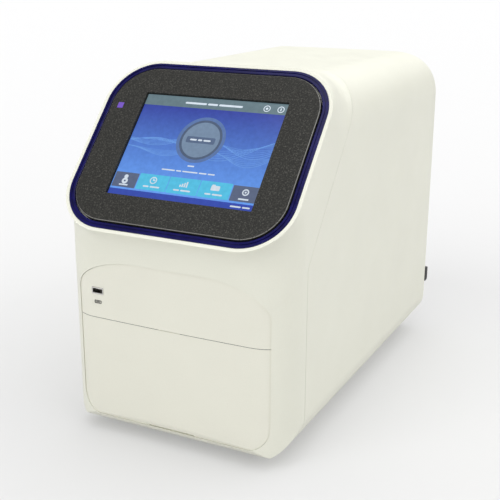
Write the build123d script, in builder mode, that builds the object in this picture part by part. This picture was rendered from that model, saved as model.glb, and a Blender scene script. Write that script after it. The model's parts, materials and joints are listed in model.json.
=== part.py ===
from build123d import *
from math import cos, pi, radians, sin, sqrt, tan
import os

# Benchtop real-time PCR instrument, millimetres, +Z up, front towards -Y.
# The origin is under the middle of the instrument, on the surface it stands on.

# Overall housing
width = 272.0
height = 400.0
body_depth = 500.0
bumper_out = 10.0
front_y = -(body_depth + bumper_out) / 2
rear_y = front_y + body_depth
wall = 3.0
fit_gap = 0.3
seam_gap = 0.6

# Housing form: section across the body, seen from the front
top_z = 393.0
bottom_z = 12.0
top_crown = 2.0
top_radius = 55.0
bottom_radius = 37.0

# Housing form: front face and rear
face_setback = 12.0
face_y = front_y + face_setback
face_bow = 2.5
corner_radius = 42.0
foot_radius = 18.0
rear_corner = 6.0
rear_top_radius = 25.0
rear_lean = 8.0

# Screen lip, tilted back from the vertical
screen_tilt = 42.65
lean = radians(screen_tilt)
lip_height = 218.0
lip_radius = 57.0
lip_bottom_z = 240.0
lip_depth = 7.0
lip_bow = 0.1
cove_depth = 40.0
cove_fill = 2.5
hood_depth = 56.0
hood_skin = 0.08
screen_wall = 8.0
screen_z = lip_bottom_z + lip_height / 2 * cos(lean)
screen_y = front_y + lip_height / 2 * sin(lean)

# Joint line between the front cover and the main cover
seam_y = face_y + 48.0
seam_knee_z = 213.0
seam_tilt = 39.1

# Front panels
panel_half = width / 2 - 21.0
panel_top_z = 204.0
panel_split_z = 137.5
panel_low_z = 22.0
panel_arch_x = panel_half - 40.0
panel_arch_z = 36.0
panel_low_radius = 27.0
panel_step = 0.8
panel_rim = 6.0
boss_x = panel_half - 45.0
boss_spread_z = 60.0
boss_radius = 5.0
finger_slot = 57.0
finger_slot_height = 3.0

# Accent ring, bezel and display
ring_border = 4.0
ring_width = 7.0
ring_proud = 0.8
ring_groove = 1.2
bezel_gap = 1.5
bezel_proud = 2.0
bezel_plate = 3.0
bezel_skirt = 4.0
pocket_depth = 6.0
display_width = 170.4
display_height = 127.8
display_shift = 1.9
glass_border = 5.0
glass_thick = 1.2
lcd_border = 9.0
light_x = 24.8 - width / 2
light_up = 45.0
light_size = 7.0
bezel_chamfer = 1.0

# Sheet metal and fixings
sheet = 2.0
post_gap = 0.05
vent_length = 42.0
vent_width = 4.0

# Sheet-metal frame
pan_half = width / 2 - bottom_radius
pan_z = bottom_z + wall
pan_flange = 14.0
frame_in = pan_half - sheet
frame_front_y = face_y + foot_radius + fit_gap
frame_rear_y = front_y + 385.0
deck_z = 186.0
deck_half = width / 2 - 24.0
deck_front_y = front_y + 77.0
frame_flange = 10.0
window_z = 135.0
window_height = 56.0
window_post = 40.0
window_corner = 8.0
foot_x = width / 2 - 62.0
foot_front_y = front_y + 90.0
foot_rear_y = rear_y - 45.0
foot_taper_z = 4.0
pan_slots_front_y = front_y + 195.0
pan_slots_rear_y = rear_y - 95.0
foot_radius_top = 14.5
foot_radius_low = 12.5

# Drawer travel and the optical line above the sample block
drawer_travel = 200.0
block_y = front_y + 140.0
cover_lift = 12.0

# Telescopic slides, one each side
slide_z = 62.0
slide_height = 44.0
slide_metal = 1.4
slide_length = 240.0
slide_stack = 12.0
slide_lip = 1.6
slide_gap = 1.2
slide_y = frame_front_y - 3.0

# Drawer tray and front
tray_half = frame_in - sheet - slide_stack
tray_z = 40.0
tray_front_y = face_y + panel_step + wall + panel_rim
tray_rear_y = front_y + 295.0
ledge_reach = 8.0
tray_notch_length = 48.0
tray_notch_height = 42.0
tray_notch_rear = 12.0
tray_notch_rise = 10.0
deck_groove = 12.0
deck_groove_y = 14.0

# Sample block stack
sink_z = 98.0
sink_base = 8.0
sink_fin_height = 38.0
sink_fin_count = 13
sink_fin_thick = 1.8
sink_fin_clear = 7.0
sink_fin_pitch = 2 * (tray_half - sheet - ledge_reach - sink_fin_clear) / (sink_fin_count - 1)
sink_length = 112.0
peltier_size = 38.0
peltier_thick = 3.6
peltier_pitch = 40.0
peltier_gap = 2.0
peltier_columns = 3
block_length = 2 * tray_half - 48.0
block_rim = 5.0
block_width = 80.0
block_height = 17.4
well_pitch = 9.0
well_rows = 8
well_columns = int((block_length - 2 * block_rim) / well_pitch + 0.01)
well_radius = 2.75
well_taper = 7.0
well_depth = 13.0
block_base_z = sink_z + sink_base + peltier_thick
block_top_z = block_base_z + block_height
deck_drop = 2.0
deck_thick = 3.0
deck_margin = 2.5
block_corner = 4.0

# Heated cover above the block, drawn raised
cover_gap = 0.6
plate_length = block_length + 10.0
plate_width = 90.0
plate_thick = 10.0
plate_z = block_top_z + cover_gap + cover_lift
light_slot = 3.6
carrier_half_x = plate_length / 2 + 11.0
carrier_half_y = 60.0
carrier_thick = 8.0
carrier_z = plate_z + plate_thick
guide_x = carrier_half_x - 9.0
guide_y = carrier_half_y - 9.0
guide_radius = 4.0
lift_radius = 4.0

# Motors and lead screws
drive_radius = 4.0
drive_z = 31.5
drive_front_y = front_y + 50.0
drive_rear_y = tray_rear_y + 15.0
nut_y = tray_rear_y - 16.0
nut_length = 14.0
drive_bearing = 8.0
bearing_front = 4.0
motor_plate = 3.0
small_motor = 28.0
small_motor_length = 34.0
large_motor = 42.0
large_motor_length = 38.0

# Fans
exhaust_x = width / 4 - 18.0
exhaust_z = 290.0
fan_size = 2 * (exhaust_x - 10.0)
fan_depth = 25.0
fan_bore = fan_size / 2 - 2.0
fan_hub = fan_size / 5
fan_blades = 7
fan_tip_gap = 1.2
fan_chord = 24.0
fan_blade_thick = 1.6
fan_pitch = 42.0
fan_strut = 3.0
guard_rings = 3
guard_wire = 1.8
block_fan_y = block_y + sink_length / 2 + 6.0

# Optics above the deck
beam_z = 244.0
splitter_y = block_y + 110.0
optics_half = block_length / 2 + 8.0
optics_plate = 3.0
optics_top_z = 301.0
optics_rear_y = splitter_y + 75.0
lens_width = 94.0
lens_opening_x = block_length + 2.0
lens_opening_y = 84.0
mirror_length = 128.0
mirror_thick = 4.0
port_radius = 12.0
lens_edge = 3.0
lens_crown = 5.0
splitter_window = (50.0, 22.0, 44.0, 24.0)
mirror_window = (-75.0, 18.0, 50.0, 18.0)
lens_length = 2 * (optics_half - optics_plate - fit_gap)
lift_x = optics_half + large_motor / 2 + seam_gap
lift_arm_end = frame_in - sheet - seam_gap

# Filter wheels: sizes from the optical axis, which meets the wheel at one filter
wheel_offset = 28.0
wheel_radius = 42.0
wheel_thick = 4.0
wheel_rise = 5.0
filter_size = 16.0
filter_count = 6
shaft_radius = 2.5
bridge_rise = 17.0
bridge_thick = 3.0
bridge_half = 42.0
bridge_near = 28.0
bridge_far = 66.0
bridge_post = 7.0
lamp_radius = 12.0
lamp_barrel = 20.0
camera_barrel = 24.0
camera_length = 36.0
lamp_sink = 44.0
splitter_length = 78.0

# Rear panel and what it carries
rear_panel_y = rear_y - 19.0
inlet_x = width / 2 - 51.0
inlet_z = 62.0
switch_z = 104.0
port_x = 64.0 - width / 2
port_z = 82.0
port_shell = 0.6
vent_z = 180.0
inlet_width = 27.4
inlet_height = 20.4
inlet_flange = 2.0
inlet_body = 24.0
inlet_cavity = 18.0
inlet_half_x = 12.0
inlet_half_z = 8.0
inlet_blade = 14.0
switch_width = 18.6
switch_height = 26.6
switch_cavity = 14.0
rocker_width = 14.0
rocker_gap = 0.5
rocker_half = 10.0
rocker_swing = 1.5
rocker_rise = 6.2
rocker_dip = 2.6
rocker_pin = 1.4
rocker_tilt = 10.0
rocker_y = rear_panel_y + sheet - 3.0

# Rear ports: place across, inner width, inner height, depth, clear depth
port_sizes = (
    (22.0, 12.5, 5.2, 16.0, 4.6),
    (4.0, 12.5, 5.2, 16.0, 4.6),
    (-11.0, 8.5, 7.8, 16.0, 4.6),
    (-26.0, 11.8, 8.2, 18.0, 8.0),
)
bumper_z = 75.0
bumper_size = 20.0

# Front socket
socket_x = -88.6
socket_z = 168.5
socket_width = 12.5
socket_height = 5.2
socket_depth = 16.0
socket_wall = 1.2
socket_inset = 0.6
socket_clear = 4.6

# Electronics
board_thick = 1.6
board_width = 130.0
board_height = 88.0
board_standoff = 10.0
standoff_radius = 3.0
chip_height = 4.0
main_board_y = frame_rear_y - 91.0
main_board_z = 110.0
main_board_length = 170.0
main_board_height = 96.0
supply_x = -20.0
supply_length = width - 152.0
supply_rear = 14.0
supply_depth = 72.0
supply_height = 45.0


def screen_plane(out=0.0, across=0.0):
    """Plane parallel to the screen, moved outwards from the lip's front and across it."""
    return Plane(
        origin=(across, screen_y - out * cos(lean), screen_z + out * sin(lean)),
        x_dir=(1, 0, 0),
        z_dir=(0, -cos(lean), sin(lean)),
    )


def ease(start, end, share):
    """Value that leaves start and reaches end with no slope."""
    share = min(max(share, 0.0), 1.0)
    return start + (end - start) * share * share * (3 - 2 * share)


# Housing: one outer form, which the covers and panels are cut from

def hood_section(depth, inset):
    """Rounded outline of the hood at a depth behind the lip's front plane."""
    share = depth / cove_depth
    half = width / 2 - inset
    roof_z = ease(height, top_z, share) - inset
    top = (roof_z - screen_z + depth * sin(lean)) / cos(lean)
    face = (face_y + inset - screen_y - depth * cos(lean)) / sin(lean)
    lip = -lip_height / 2 + inset
    beside_crease = max(0.0, 1 - abs(lip - face) / (2 * cove_depth / 5))
    fill = cove_fill * beside_crease ** 2 if depth > lip_depth else 0.0
    bottom = lip if depth <= lip_depth else min(lip, face) - fill
    top_x = ease(lip_radius - inset, top_radius - inset, share)
    top_v = ease(lip_radius - inset, (top_radius - inset) / cos(lean), share)
    low_x = ease(lip_radius - inset, corner_radius - inset, share)
    low_v = ease(lip_radius - inset, (corner_radius - inset) / sin(lean), share)
    crown = ease(lip_bow, top_crown * (1 - top_x / half) ** 2 / cos(lean), share)
    bow = ease(lip_bow, face_bow * (1 - low_x / half) ** 2 / sin(lean), share)
    with BuildSketch(screen_plane(-depth)) as section:
        with BuildLine():
            ThreePointArc((-half + top_x, top - crown), (0, top), (half - top_x, top - crown))
            EllipticalCenterArc((half - top_x, top - crown - top_v), top_x, top_v, 90, arc_size=-90)
            Line((half, top - crown - top_v), (half, bottom + bow + low_v))
            EllipticalCenterArc((half - low_x, bottom + bow + low_v), low_x, low_v, 0, arc_size=-90)
            ThreePointArc((half - low_x, bottom + bow), (0, bottom), (-half + low_x, bottom + bow))
            EllipticalCenterArc((-half + low_x, bottom + bow + low_v), low_x, low_v, 270, arc_size=-90)
            Line((-half, bottom + bow + low_v), (-half, top - crown - top_v))
            EllipticalCenterArc((-half + top_x, top - crown - top_v), top_x, top_v, 180, arc_size=-90)
        make_face()
    return section.sketch.face()


def body_form(inset=0.0):
    """Body without the hood: rounded section, bowed front, foot and rear, or the same moved inwards."""
    half = width / 2 - inset
    roof = top_z - inset
    floor = bottom_z + inset
    face = face_y + inset
    back = rear_y - inset
    with BuildPart() as body:
        with BuildSketch(Plane.XZ):
            with BuildLine():
                Polyline((-half, roof - top_crown), (-half, floor), (half, floor), (half, roof - top_crown))
                ThreePointArc((half, roof - top_crown), (0, roof), (-half, roof - top_crown))
            make_face()
        extrude(amount=body_depth, both=True)
        fillet(body.edges().filter_by(Axis.Y).group_by(Axis.Z)[0], bottom_radius - inset)
        fillet(body.edges().filter_by(Axis.Y).group_by(Axis.Z)[-1], top_radius - inset)

        with BuildSketch(Plane.YZ) as side:
            with BuildLine():
                Polyline(
                    (face, floor), (face, roof), (back - rear_lean, roof), (back, floor), close=True,
                )
            make_face()
            fillet(side.vertices().sort_by_distance((face, floor))[0], foot_radius - inset)
            fillet(side.vertices().sort_by_distance((back - rear_lean, roof))[0], rear_top_radius - inset)
        extrude(amount=width, both=True, mode=Mode.INTERSECT)

        with BuildSketch(Plane.XY) as plan:
            with BuildLine():
                reach = back if inset < wall else back + wall
                Polyline((-half, face + face_bow), (-half, reach), (half, reach), (half, face + face_bow))
                ThreePointArc((half, face + face_bow), (0, face), (-half, face + face_bow))
            make_face()
            fillet(plan.vertices().group_by(Axis.Y)[0], corner_radius - inset)
            if inset < wall:
                fillet(plan.vertices().group_by(Axis.Y)[-1], rear_corner - inset)
        extrude(amount=height, mode=Mode.INTERSECT)
    return body.part


def housing(inset=0.0, screen_inset=None):
    """Outer form of the whole instrument with its hood, or the same form moved inwards."""
    start = inset if screen_inset is None else screen_inset
    face = face_y + inset
    behind = screen_plane(-hood_depth + sheet).origin
    knee_z = behind.Z + (face - behind.Y) / tan(lean)
    roof_y = behind.Y + (height - behind.Z) * tan(lean)
    with BuildPart() as body:
        add(body_form(inset))
        with BuildSketch(Plane.YZ):
            with BuildLine():
                Polyline((face, knee_z), (face, height), (roof_y, height), close=True)
            make_face()
        extrude(amount=width, both=True, mode=Mode.SUBTRACT)
        depths = [start + (hood_depth - start) * share for share in (0, 0.06, 0.125, 0.25, 0.39, 0.57, 0.79, 1)]
        loft([hood_section(depth, inset - hood_skin * (depth > cove_depth)) for depth in depths])
    return body.part


def in_front_of_seam(gap):
    """Space in front of the joint line of the two covers."""
    over = height + wall
    run = over - seam_knee_z
    with BuildPart() as space:
        with BuildSketch(Plane.YZ):
            with BuildLine():
                Polyline(
                    (front_y - wall, 0), (seam_y - gap, 0), (seam_y - gap, seam_knee_z),
                    (seam_y - gap + run * tan(radians(seam_tilt)), over), (front_y - wall, over), close=True,
                )
            make_face()
        extrude(amount=width, both=True)
    return space.part


def panel_region(inset, low, high):
    """Arched outline of the front panels between two heights, run through the front wall."""
    half = panel_half - inset
    arch_z = panel_top_z - panel_arch_z
    with BuildPart() as region:
        with BuildSketch(Plane.XZ.offset(-seam_y)) as outline:
            with BuildLine():
                Line((-half, panel_low_z + inset), (half, panel_low_z + inset))
                Line((half, panel_low_z + inset), (half, arch_z))
                EllipticalCenterArc(
                    (panel_half - panel_arch_x, arch_z), panel_arch_x - inset, panel_arch_z - inset, 0, arc_size=90,
                )
                Line(
                    (panel_half - panel_arch_x, panel_top_z - inset), (panel_arch_x - panel_half, panel_top_z - inset),
                )
                EllipticalCenterArc(
                    (panel_arch_x - panel_half, arch_z), panel_arch_x - inset, panel_arch_z - inset, 90, arc_size=90,
                )
                Line((-half, arch_z), (-half, panel_low_z + inset))
            make_face()
            fillet(outline.vertices().group_by(Axis.Y)[0], panel_low_radius - inset)
        extrude(amount=seam_y - front_y + wall)
        with BuildSketch(Plane.XY.offset(low)):
            Rectangle(2 * width, 4 * body_depth)
        extrude(amount=high - low, mode=Mode.INTERSECT)
    return region.part


def plate(plane, length, width_across, thick):
    """Flat rectangular plate centred on a plane and standing on it."""
    with BuildPart() as sheet_part:
        with BuildSketch(plane):
            Rectangle(length, width_across)
        extrude(amount=thick)
    return sheet_part.part


def pair(first, second):
    """Two solids of one kind as one piece."""
    with BuildPart() as both:
        add(first)
        add(second)
    return both.part


# Outer covers

def screen_outline(inset, low, high):
    """Rounded plate parallel to the screen, inset from the accent ring's outline."""
    with BuildPart() as slab:
        with BuildSketch(screen_plane(low)):
            RectangleRounded(
                width - 2 * (ring_border + inset), lip_height - 2 * (ring_border + inset),
                lip_radius - ring_border - inset,
            )
        extrude(amount=high - low)
    return slab.part


def front_cover():
    """Moulded hood with the screen lip, the cheeks and the sill under the drawer."""
    opening = bezel_gap + ring_width + 8.0
    with BuildPart() as cover:
        add(housing())
        add(housing(wall, screen_wall), mode=Mode.SUBTRACT)
        add(in_front_of_seam(seam_gap / 2), mode=Mode.INTERSECT)
        add(screen_outline(-fit_gap / 2, -pocket_depth, wall), mode=Mode.SUBTRACT)
        add(screen_outline(opening, -3 * screen_wall, wall), mode=Mode.SUBTRACT)
        add(panel_region(-seam_gap / 2, panel_low_z - seam_gap / 2, panel_top_z + wall), mode=Mode.SUBTRACT)
    return cover.part


def main_cover():
    """Shell over the top, the sides and the rounded bottom edges, open at the rear."""
    flange_half = width / 2 - bottom_radius - 2 * wall
    with BuildPart() as cover:
        add(housing())
        add(housing(wall, screen_wall), mode=Mode.SUBTRACT)
        add(in_front_of_seam(-seam_gap / 2), mode=Mode.SUBTRACT)
        with BuildSketch(Plane.XY.offset(bottom_z - wall)):
            with Locations((0, (seam_y + rear_y) / 2 + 2 * wall)):
                RectangleRounded(2 * flange_half, rear_y - seam_y - 2 * wall, 4 * wall)
        extrude(amount=3 * wall, mode=Mode.SUBTRACT)
        with BuildSketch(Plane.XZ.offset(-rear_panel_y)):
            RectangleRounded(width - 4 * wall, 2 * (top_z - 6 * wall), bottom_radius)
        extrude(amount=-2 * (rear_y - rear_panel_y), mode=Mode.SUBTRACT)
    return cover.part


def rear_panel():
    """Sheet that closes the rear of the main cover, with its cut-outs."""
    with BuildPart() as panel:
        add(housing(wall + fit_gap, screen_wall + fit_gap))
        with BuildSketch(Plane.XZ.offset(-rear_panel_y)):
            Rectangle(2 * width, 2 * height)
        extrude(amount=-sheet, mode=Mode.INTERSECT)
        with BuildSketch(Plane.XZ.offset(-rear_panel_y)):
            with Locations((exhaust_x, exhaust_z), (-exhaust_x, exhaust_z)):
                Circle(fan_bore)
            with Locations((inlet_x, inlet_z)):
                Rectangle(inlet_width + fit_gap, inlet_height + fit_gap)
            with Locations((inlet_x, switch_z)):
                Rectangle(switch_width + fit_gap, switch_height + fit_gap)
            for shift, port_width, port_height, port_depth, port_clear in port_sizes:
                with Locations((port_x - shift, port_z)):
                    Rectangle(port_width + 2 * port_shell + fit_gap, port_height + 2 * port_shell + fit_gap)
            with Locations((0, vent_z)):
                with GridLocations(2 * exhaust_x, 2 * vent_width, 2, 6):
                    Rectangle(1.5 * vent_length, vent_width)
        extrude(amount=-sheet, mode=Mode.SUBTRACT)
    return panel.part


def front_panel():
    """Fixed arched panel above the drawer, with the cut-out of its socket."""
    low = panel_split_z + seam_gap / 2
    with BuildPart() as panel:
        add(panel_region(0, low, panel_top_z + wall))
        add(body_form(panel_step), mode=Mode.INTERSECT)
        add(body_form(panel_step + wall), mode=Mode.SUBTRACT)
        with BuildSketch(Plane.XZ.offset(-seam_y)):
            with Locations((socket_x, socket_z)):
                Rectangle(socket_width + 2 * socket_wall + fit_gap / 2, socket_height + 2 * socket_wall + fit_gap / 2)
        extrude(amount=seam_y - front_y, mode=Mode.SUBTRACT)
    return panel.part


def drawer_front():
    """Moulded drawer front with a stiffening rim, bosses and a finger groove."""
    high = panel_split_z - seam_gap / 2
    with BuildPart() as hollow:
        add(panel_region(wall, panel_low_z + wall, high - wall))
        add(body_form(panel_step + wall), mode=Mode.INTERSECT)
    with BuildPart() as front:
        add(panel_region(0, panel_low_z, high))
        add(body_form(panel_step), mode=Mode.INTERSECT)
        add(body_form(panel_step + wall + panel_rim), mode=Mode.SUBTRACT)
        add(hollow.part, mode=Mode.SUBTRACT)
        with BuildSketch(Plane.XZ.offset(-tray_front_y)):
            with GridLocations(2 * boss_x, boss_spread_z, 2, 2):
                with Locations((0, (panel_low_z + high) / 2)):
                    Circle(boss_radius)
        extrude(amount=panel_rim + wall / 2)
        with BuildSketch(Plane.XZ.offset(-face_y)):
            with Locations((0, panel_low_z)):
                SlotOverall(finger_slot, finger_slot_height)
        extrude(amount=-2 * wall / 3 - panel_step - face_bow, mode=Mode.SUBTRACT)
    return front.part


# Screen: ring, bezel, glass and display

def accent_ring():
    """Glossy ring in the lip's pocket: two beads with a groove between them."""
    mid_width = width - 2 * ring_border - ring_width
    mid_height = lip_height - 2 * ring_border - ring_width
    mid_radius = lip_radius - ring_border - ring_width / 2
    with BuildPart() as ring:
        add(screen_outline(0, -pocket_depth, ring_proud))
        add(screen_outline(ring_width, -pocket_depth, ring_proud), mode=Mode.SUBTRACT)
        chamfer(ring.faces().sort_by(Axis((0, 0, 0), screen_plane().z_dir))[-1].edges(), 0.75 * ring_proud)
        with BuildSketch(screen_plane()):
            RectangleRounded(mid_width + ring_groove, mid_height + ring_groove, mid_radius + ring_groove / 2)
            RectangleRounded(
                mid_width - ring_groove, mid_height - ring_groove, mid_radius - ring_groove / 2, mode=Mode.SUBTRACT,
            )
        extrude(amount=wall, mode=Mode.SUBTRACT)
    return ring.part


def display_bezel():
    """Dark textured frame with a display window and a skirt that stands in the pocket."""
    edge = ring_width + bezel_gap
    under = bezel_proud - bezel_plate
    with BuildPart() as bezel:
        add(screen_outline(edge, -pocket_depth, bezel_proud))
        chamfer(bezel.faces().sort_by(Axis((0, 0, 0), screen_plane().z_dir))[-1].edges(), bezel_chamfer)
        add(screen_outline(edge + bezel_skirt, -pocket_depth, under), mode=Mode.SUBTRACT)
        with BuildSketch(screen_plane(under)):
            with Locations((display_shift, 0)):
                RectangleRounded(display_width + bezel_chamfer, display_height + bezel_chamfer, bezel_chamfer)
            with Locations((light_x, light_up)):
                Rectangle(light_size + fit_gap, light_size + fit_gap)
        extrude(amount=bezel_plate, mode=Mode.SUBTRACT)
    return bezel.part


def touch_glass():
    """Cover glass under the bezel's window."""
    return plate(
        screen_plane(bezel_proud - bezel_plate - glass_thick, display_shift),
        display_width + 2 * glass_border, display_height + 2 * glass_border, glass_thick,
    )


def lcd_panel():
    """Display module behind the glass, with its metal frame."""
    rear = -screen_wall
    front = bezel_proud - bezel_plate - glass_thick
    return plate(
        screen_plane(rear, display_shift), display_width + 2 * lcd_border, display_height + 2 * lcd_border,
        front - rear,
    )


def display_bracket():
    """Sheet-metal plate that clamps the display to the rear of the lip, with four standoffs."""
    edge = ring_width + bezel_gap
    with BuildPart() as bracket:
        add(screen_outline(edge, -screen_wall - sheet, -screen_wall))
        with BuildSketch(screen_plane(-screen_wall - sheet)):
            with GridLocations(board_width + 6 * vent_width, board_height / 2, 2, 2):
                Rectangle(3 * vent_width, 2 * vent_width)
            with GridLocations(1, board_height + 8 * vent_width, 1, 2):
                Rectangle(2 * vent_length, 2 * vent_width)
        extrude(amount=sheet, mode=Mode.SUBTRACT)
        with BuildSketch(screen_plane(-screen_wall - sheet - board_standoff)):
            with GridLocations(board_width - 4 * standoff_radius, board_height - 4 * standoff_radius, 2, 2):
                RegularPolygon(standoff_radius, 6)
        extrude(amount=board_standoff)
    return bracket.part


def display_board():
    """Circuit board of the display, with its processor shield and connectors."""
    face = -screen_wall - sheet - board_standoff
    with BuildPart() as board:
        with BuildSketch(screen_plane(face - board_thick)):
            Rectangle(board_width, board_height)
        extrude(amount=board_thick)
        with BuildSketch(screen_plane(face - board_thick - chip_height)):
            with Locations((-20, 8)):
                Rectangle(34, 34)
            with Locations((30, 12)):
                Rectangle(22, 14)
            with Locations((28, -18), (-28, -30)):
                Rectangle(30, 7)
        extrude(amount=chip_height)
    return board.part


def status_light():
    """Square light guide set in the bezel, with a flange behind it."""
    under = bezel_proud - bezel_plate
    with BuildPart() as light:
        with BuildSketch(screen_plane(under)):
            with Locations((light_x, light_up)):
                Rectangle(light_size, light_size)
        extrude(amount=bezel_plate)
        with BuildSketch(screen_plane(under - glass_thick)):
            with Locations((light_x, light_up)):
                Rectangle(light_size + sheet, light_size + sheet)
        extrude(amount=glass_thick)
    return light.part


def socket_shell(plane, inner_width, inner_height, depth, shell, clear):
    """Port with a metal shell open to the front, a closed rear and a recessed tongue."""
    with BuildPart() as socket:
        with BuildSketch(plane):
            Rectangle(inner_width + 2 * shell, inner_height + 2 * shell)
        extrude(amount=-depth)
        with BuildSketch(plane):
            Rectangle(inner_width, inner_height)
        extrude(amount=shell - depth, mode=Mode.SUBTRACT)
        with BuildSketch(plane.offset(shell - depth)):
            with Locations((0, inner_height / 5)):
                Rectangle(inner_width * 0.8, inner_height / 3)
        extrude(amount=depth - shell - clear)
    return socket.part


def front_socket():
    """Memory-stick port in the front panel."""
    plane = Plane(origin=(socket_x, face_y + panel_step + socket_inset, socket_z), x_dir=(1, 0, 0), z_dir=(0, -1, 0))
    return socket_shell(plane, socket_width, socket_height, socket_depth, socket_wall, socket_clear)


# Base and frame

def base_pan():
    """Folded sheet-metal base with upturned flanges, air slots and foot holes."""
    front = frame_front_y
    length = rear_panel_y - front
    with BuildPart() as pan:
        with BuildSketch(Plane.XY.offset(pan_z)) as outline:
            with Locations((0, front + length / 2)):
                Rectangle(2 * pan_half, length)
        extrude(amount=sheet)
        with BuildSketch(Plane.XY.offset(pan_z + sheet)):
            for side in (-1, 1):
                with Locations((side * (pan_half - sheet / 2), front + length / 2)):
                    Rectangle(sheet, length)
        extrude(amount=pan_flange - sheet)
        bends = pan.edges().filter_by(Axis.Y).group_by(Axis.Z)[0]
        fillet(bends, sheet + 0.5)
        with BuildSketch(Plane.XY.offset(pan_z)):
            with Locations((0, pan_slots_front_y), (0, pan_slots_rear_y)):
                with GridLocations(vent_length + 12, 2.5 * vent_width, 2, 5):
                    Rectangle(vent_length, vent_width)
        extrude(amount=sheet, mode=Mode.SUBTRACT)
    return pan.part


def feet():
    """Four rubber feet under the base pan."""
    with BuildPart() as foot:
        with BuildSketch(Plane.XZ):
            Polygon(
                (0, 0), (foot_radius_low, 0), (foot_radius_top, foot_taper_z), (foot_radius_top, pan_z),
                (0, pan_z), align=None,
            )
        revolve(axis=Axis.Z)
    with BuildPart() as group:
        for x in (-foot_x, foot_x):
            for y in (foot_front_y, foot_rear_y):
                with Locations((x, y, 0)):
                    add(foot.part)
    return group.part


def side_frame(side):
    """Upright frame plate with three windows, air slots and a flange that carries the deck."""
    plane = Plane(origin=(side * (frame_in - sheet), 0, 0), x_dir=(0, 1, 0), z_dir=(1, 0, 0))
    length = frame_rear_y - frame_front_y
    middle = (frame_rear_y + frame_front_y) / 2
    start = plane if side > 0 else plane.offset(-sheet)
    with BuildPart() as frame:
        with BuildSketch(start):
            with Locations((middle, (pan_z + sheet + deck_z) / 2)):
                Rectangle(length, deck_z - pan_z - sheet)
            with Locations((middle, pan_z + sheet + 3 * vent_width)):
                with GridLocations(vent_length + 12, 1, 5, 1):
                    Rectangle(vent_length, vent_width, mode=Mode.SUBTRACT)
        extrude(amount=sheet)
        with BuildSketch(start) as windows:
            with Locations((middle - length / 4, window_z), (middle + length / 4, window_z)):
                Rectangle(length / 2 - window_post, window_height)
            with Locations((middle + length / 3, slide_z)):
                Rectangle(length / 3 - window_post, slide_height)
            chamfer(windows.vertices(), window_corner)
        extrude(amount=sheet, mode=Mode.SUBTRACT)
        with BuildSketch(Plane.XY.offset(deck_z - sheet)):
            with Locations((side * (frame_in - sheet - frame_flange / 2), middle)):
                Rectangle(frame_flange, length)
            with Locations((side * lift_x, block_y)):
                Rectangle(2 * frame_flange, 2 * (lift_radius + sheet), mode=Mode.SUBTRACT)
        extrude(amount=sheet)
    return frame.part


def optics_deck():
    """Deck over the drawer bay, open above the sample block."""
    length = frame_rear_y - deck_front_y
    with BuildPart() as deck:
        with BuildSketch(Plane.XY.offset(deck_z)):
            with Locations((0, (frame_rear_y + deck_front_y) / 2)):
                Rectangle(2 * deck_half, length)
            with Locations((0, block_y)):
                Rectangle(lens_opening_x, lens_opening_y, mode=Mode.SUBTRACT)
            with Locations((lift_x, block_y)):
                Circle(lift_radius + sheet, mode=Mode.SUBTRACT)
            with Locations((0, frame_rear_y - 28)):
                with GridLocations(vent_length + 16, 2.5 * vent_width, 3, 3):
                    Rectangle(vent_length, vent_width, mode=Mode.SUBTRACT)
        extrude(amount=sheet)
    return deck.part


# Telescopic slides: outer channel on the frame, middle channel, inner channel on the tray

def channel(side, web_x, lip_x, half_height):
    """Folded channel beside the tray: a web with two flanges that point to lip_x."""
    inward = 1 if lip_x > web_x else -1
    centre_y = slide_y + slide_length / 2
    with BuildPart() as rail:
        with BuildSketch(Plane.XZ.offset(-slide_y - slide_length)):
            with Locations((side * (web_x + inward * slide_metal / 2), slide_z)):
                Rectangle(slide_metal, 2 * half_height)
            for level in (-1, 1):
                with Locations((side * (web_x + lip_x) / 2, slide_z + level * (half_height - slide_metal / 2))):
                    Rectangle(abs(lip_x - web_x), slide_metal)
        extrude(amount=slide_length)
        with BuildSketch(Plane.YZ.offset(side * web_x)):
            with Locations((centre_y, slide_z)):
                with GridLocations(slide_length / 3, 1, 3, 1):
                    Rectangle(slide_length / 8, slide_height / 6)
        extrude(amount=side * inward * slide_metal, mode=Mode.SUBTRACT)
    return rail.part


def slide_pair(web_x, lip_x, half_height):
    """The same channel on both sides of the tray."""
    return pair(channel(1, web_x, lip_x, half_height), channel(-1, web_x, lip_x, half_height))


def outer_slides():
    """Channels screwed to the side frames."""
    return slide_pair(frame_in - sheet, tray_half + slide_lip, slide_height / 2)


def middle_slides():
    """Channels that run inside the outer ones and carry the inner ones."""
    web = frame_in - sheet - slide_metal - slide_gap
    return slide_pair(web, tray_half + slide_lip, slide_height / 2 - slide_metal - fit_gap)


def inner_slides():
    """Channels screwed to the tray."""
    lip = frame_in - sheet - 2 * (slide_metal + slide_gap)
    return slide_pair(tray_half, lip, slide_height / 2 - 2 * (slide_metal + fit_gap))


# Drawer

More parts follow.
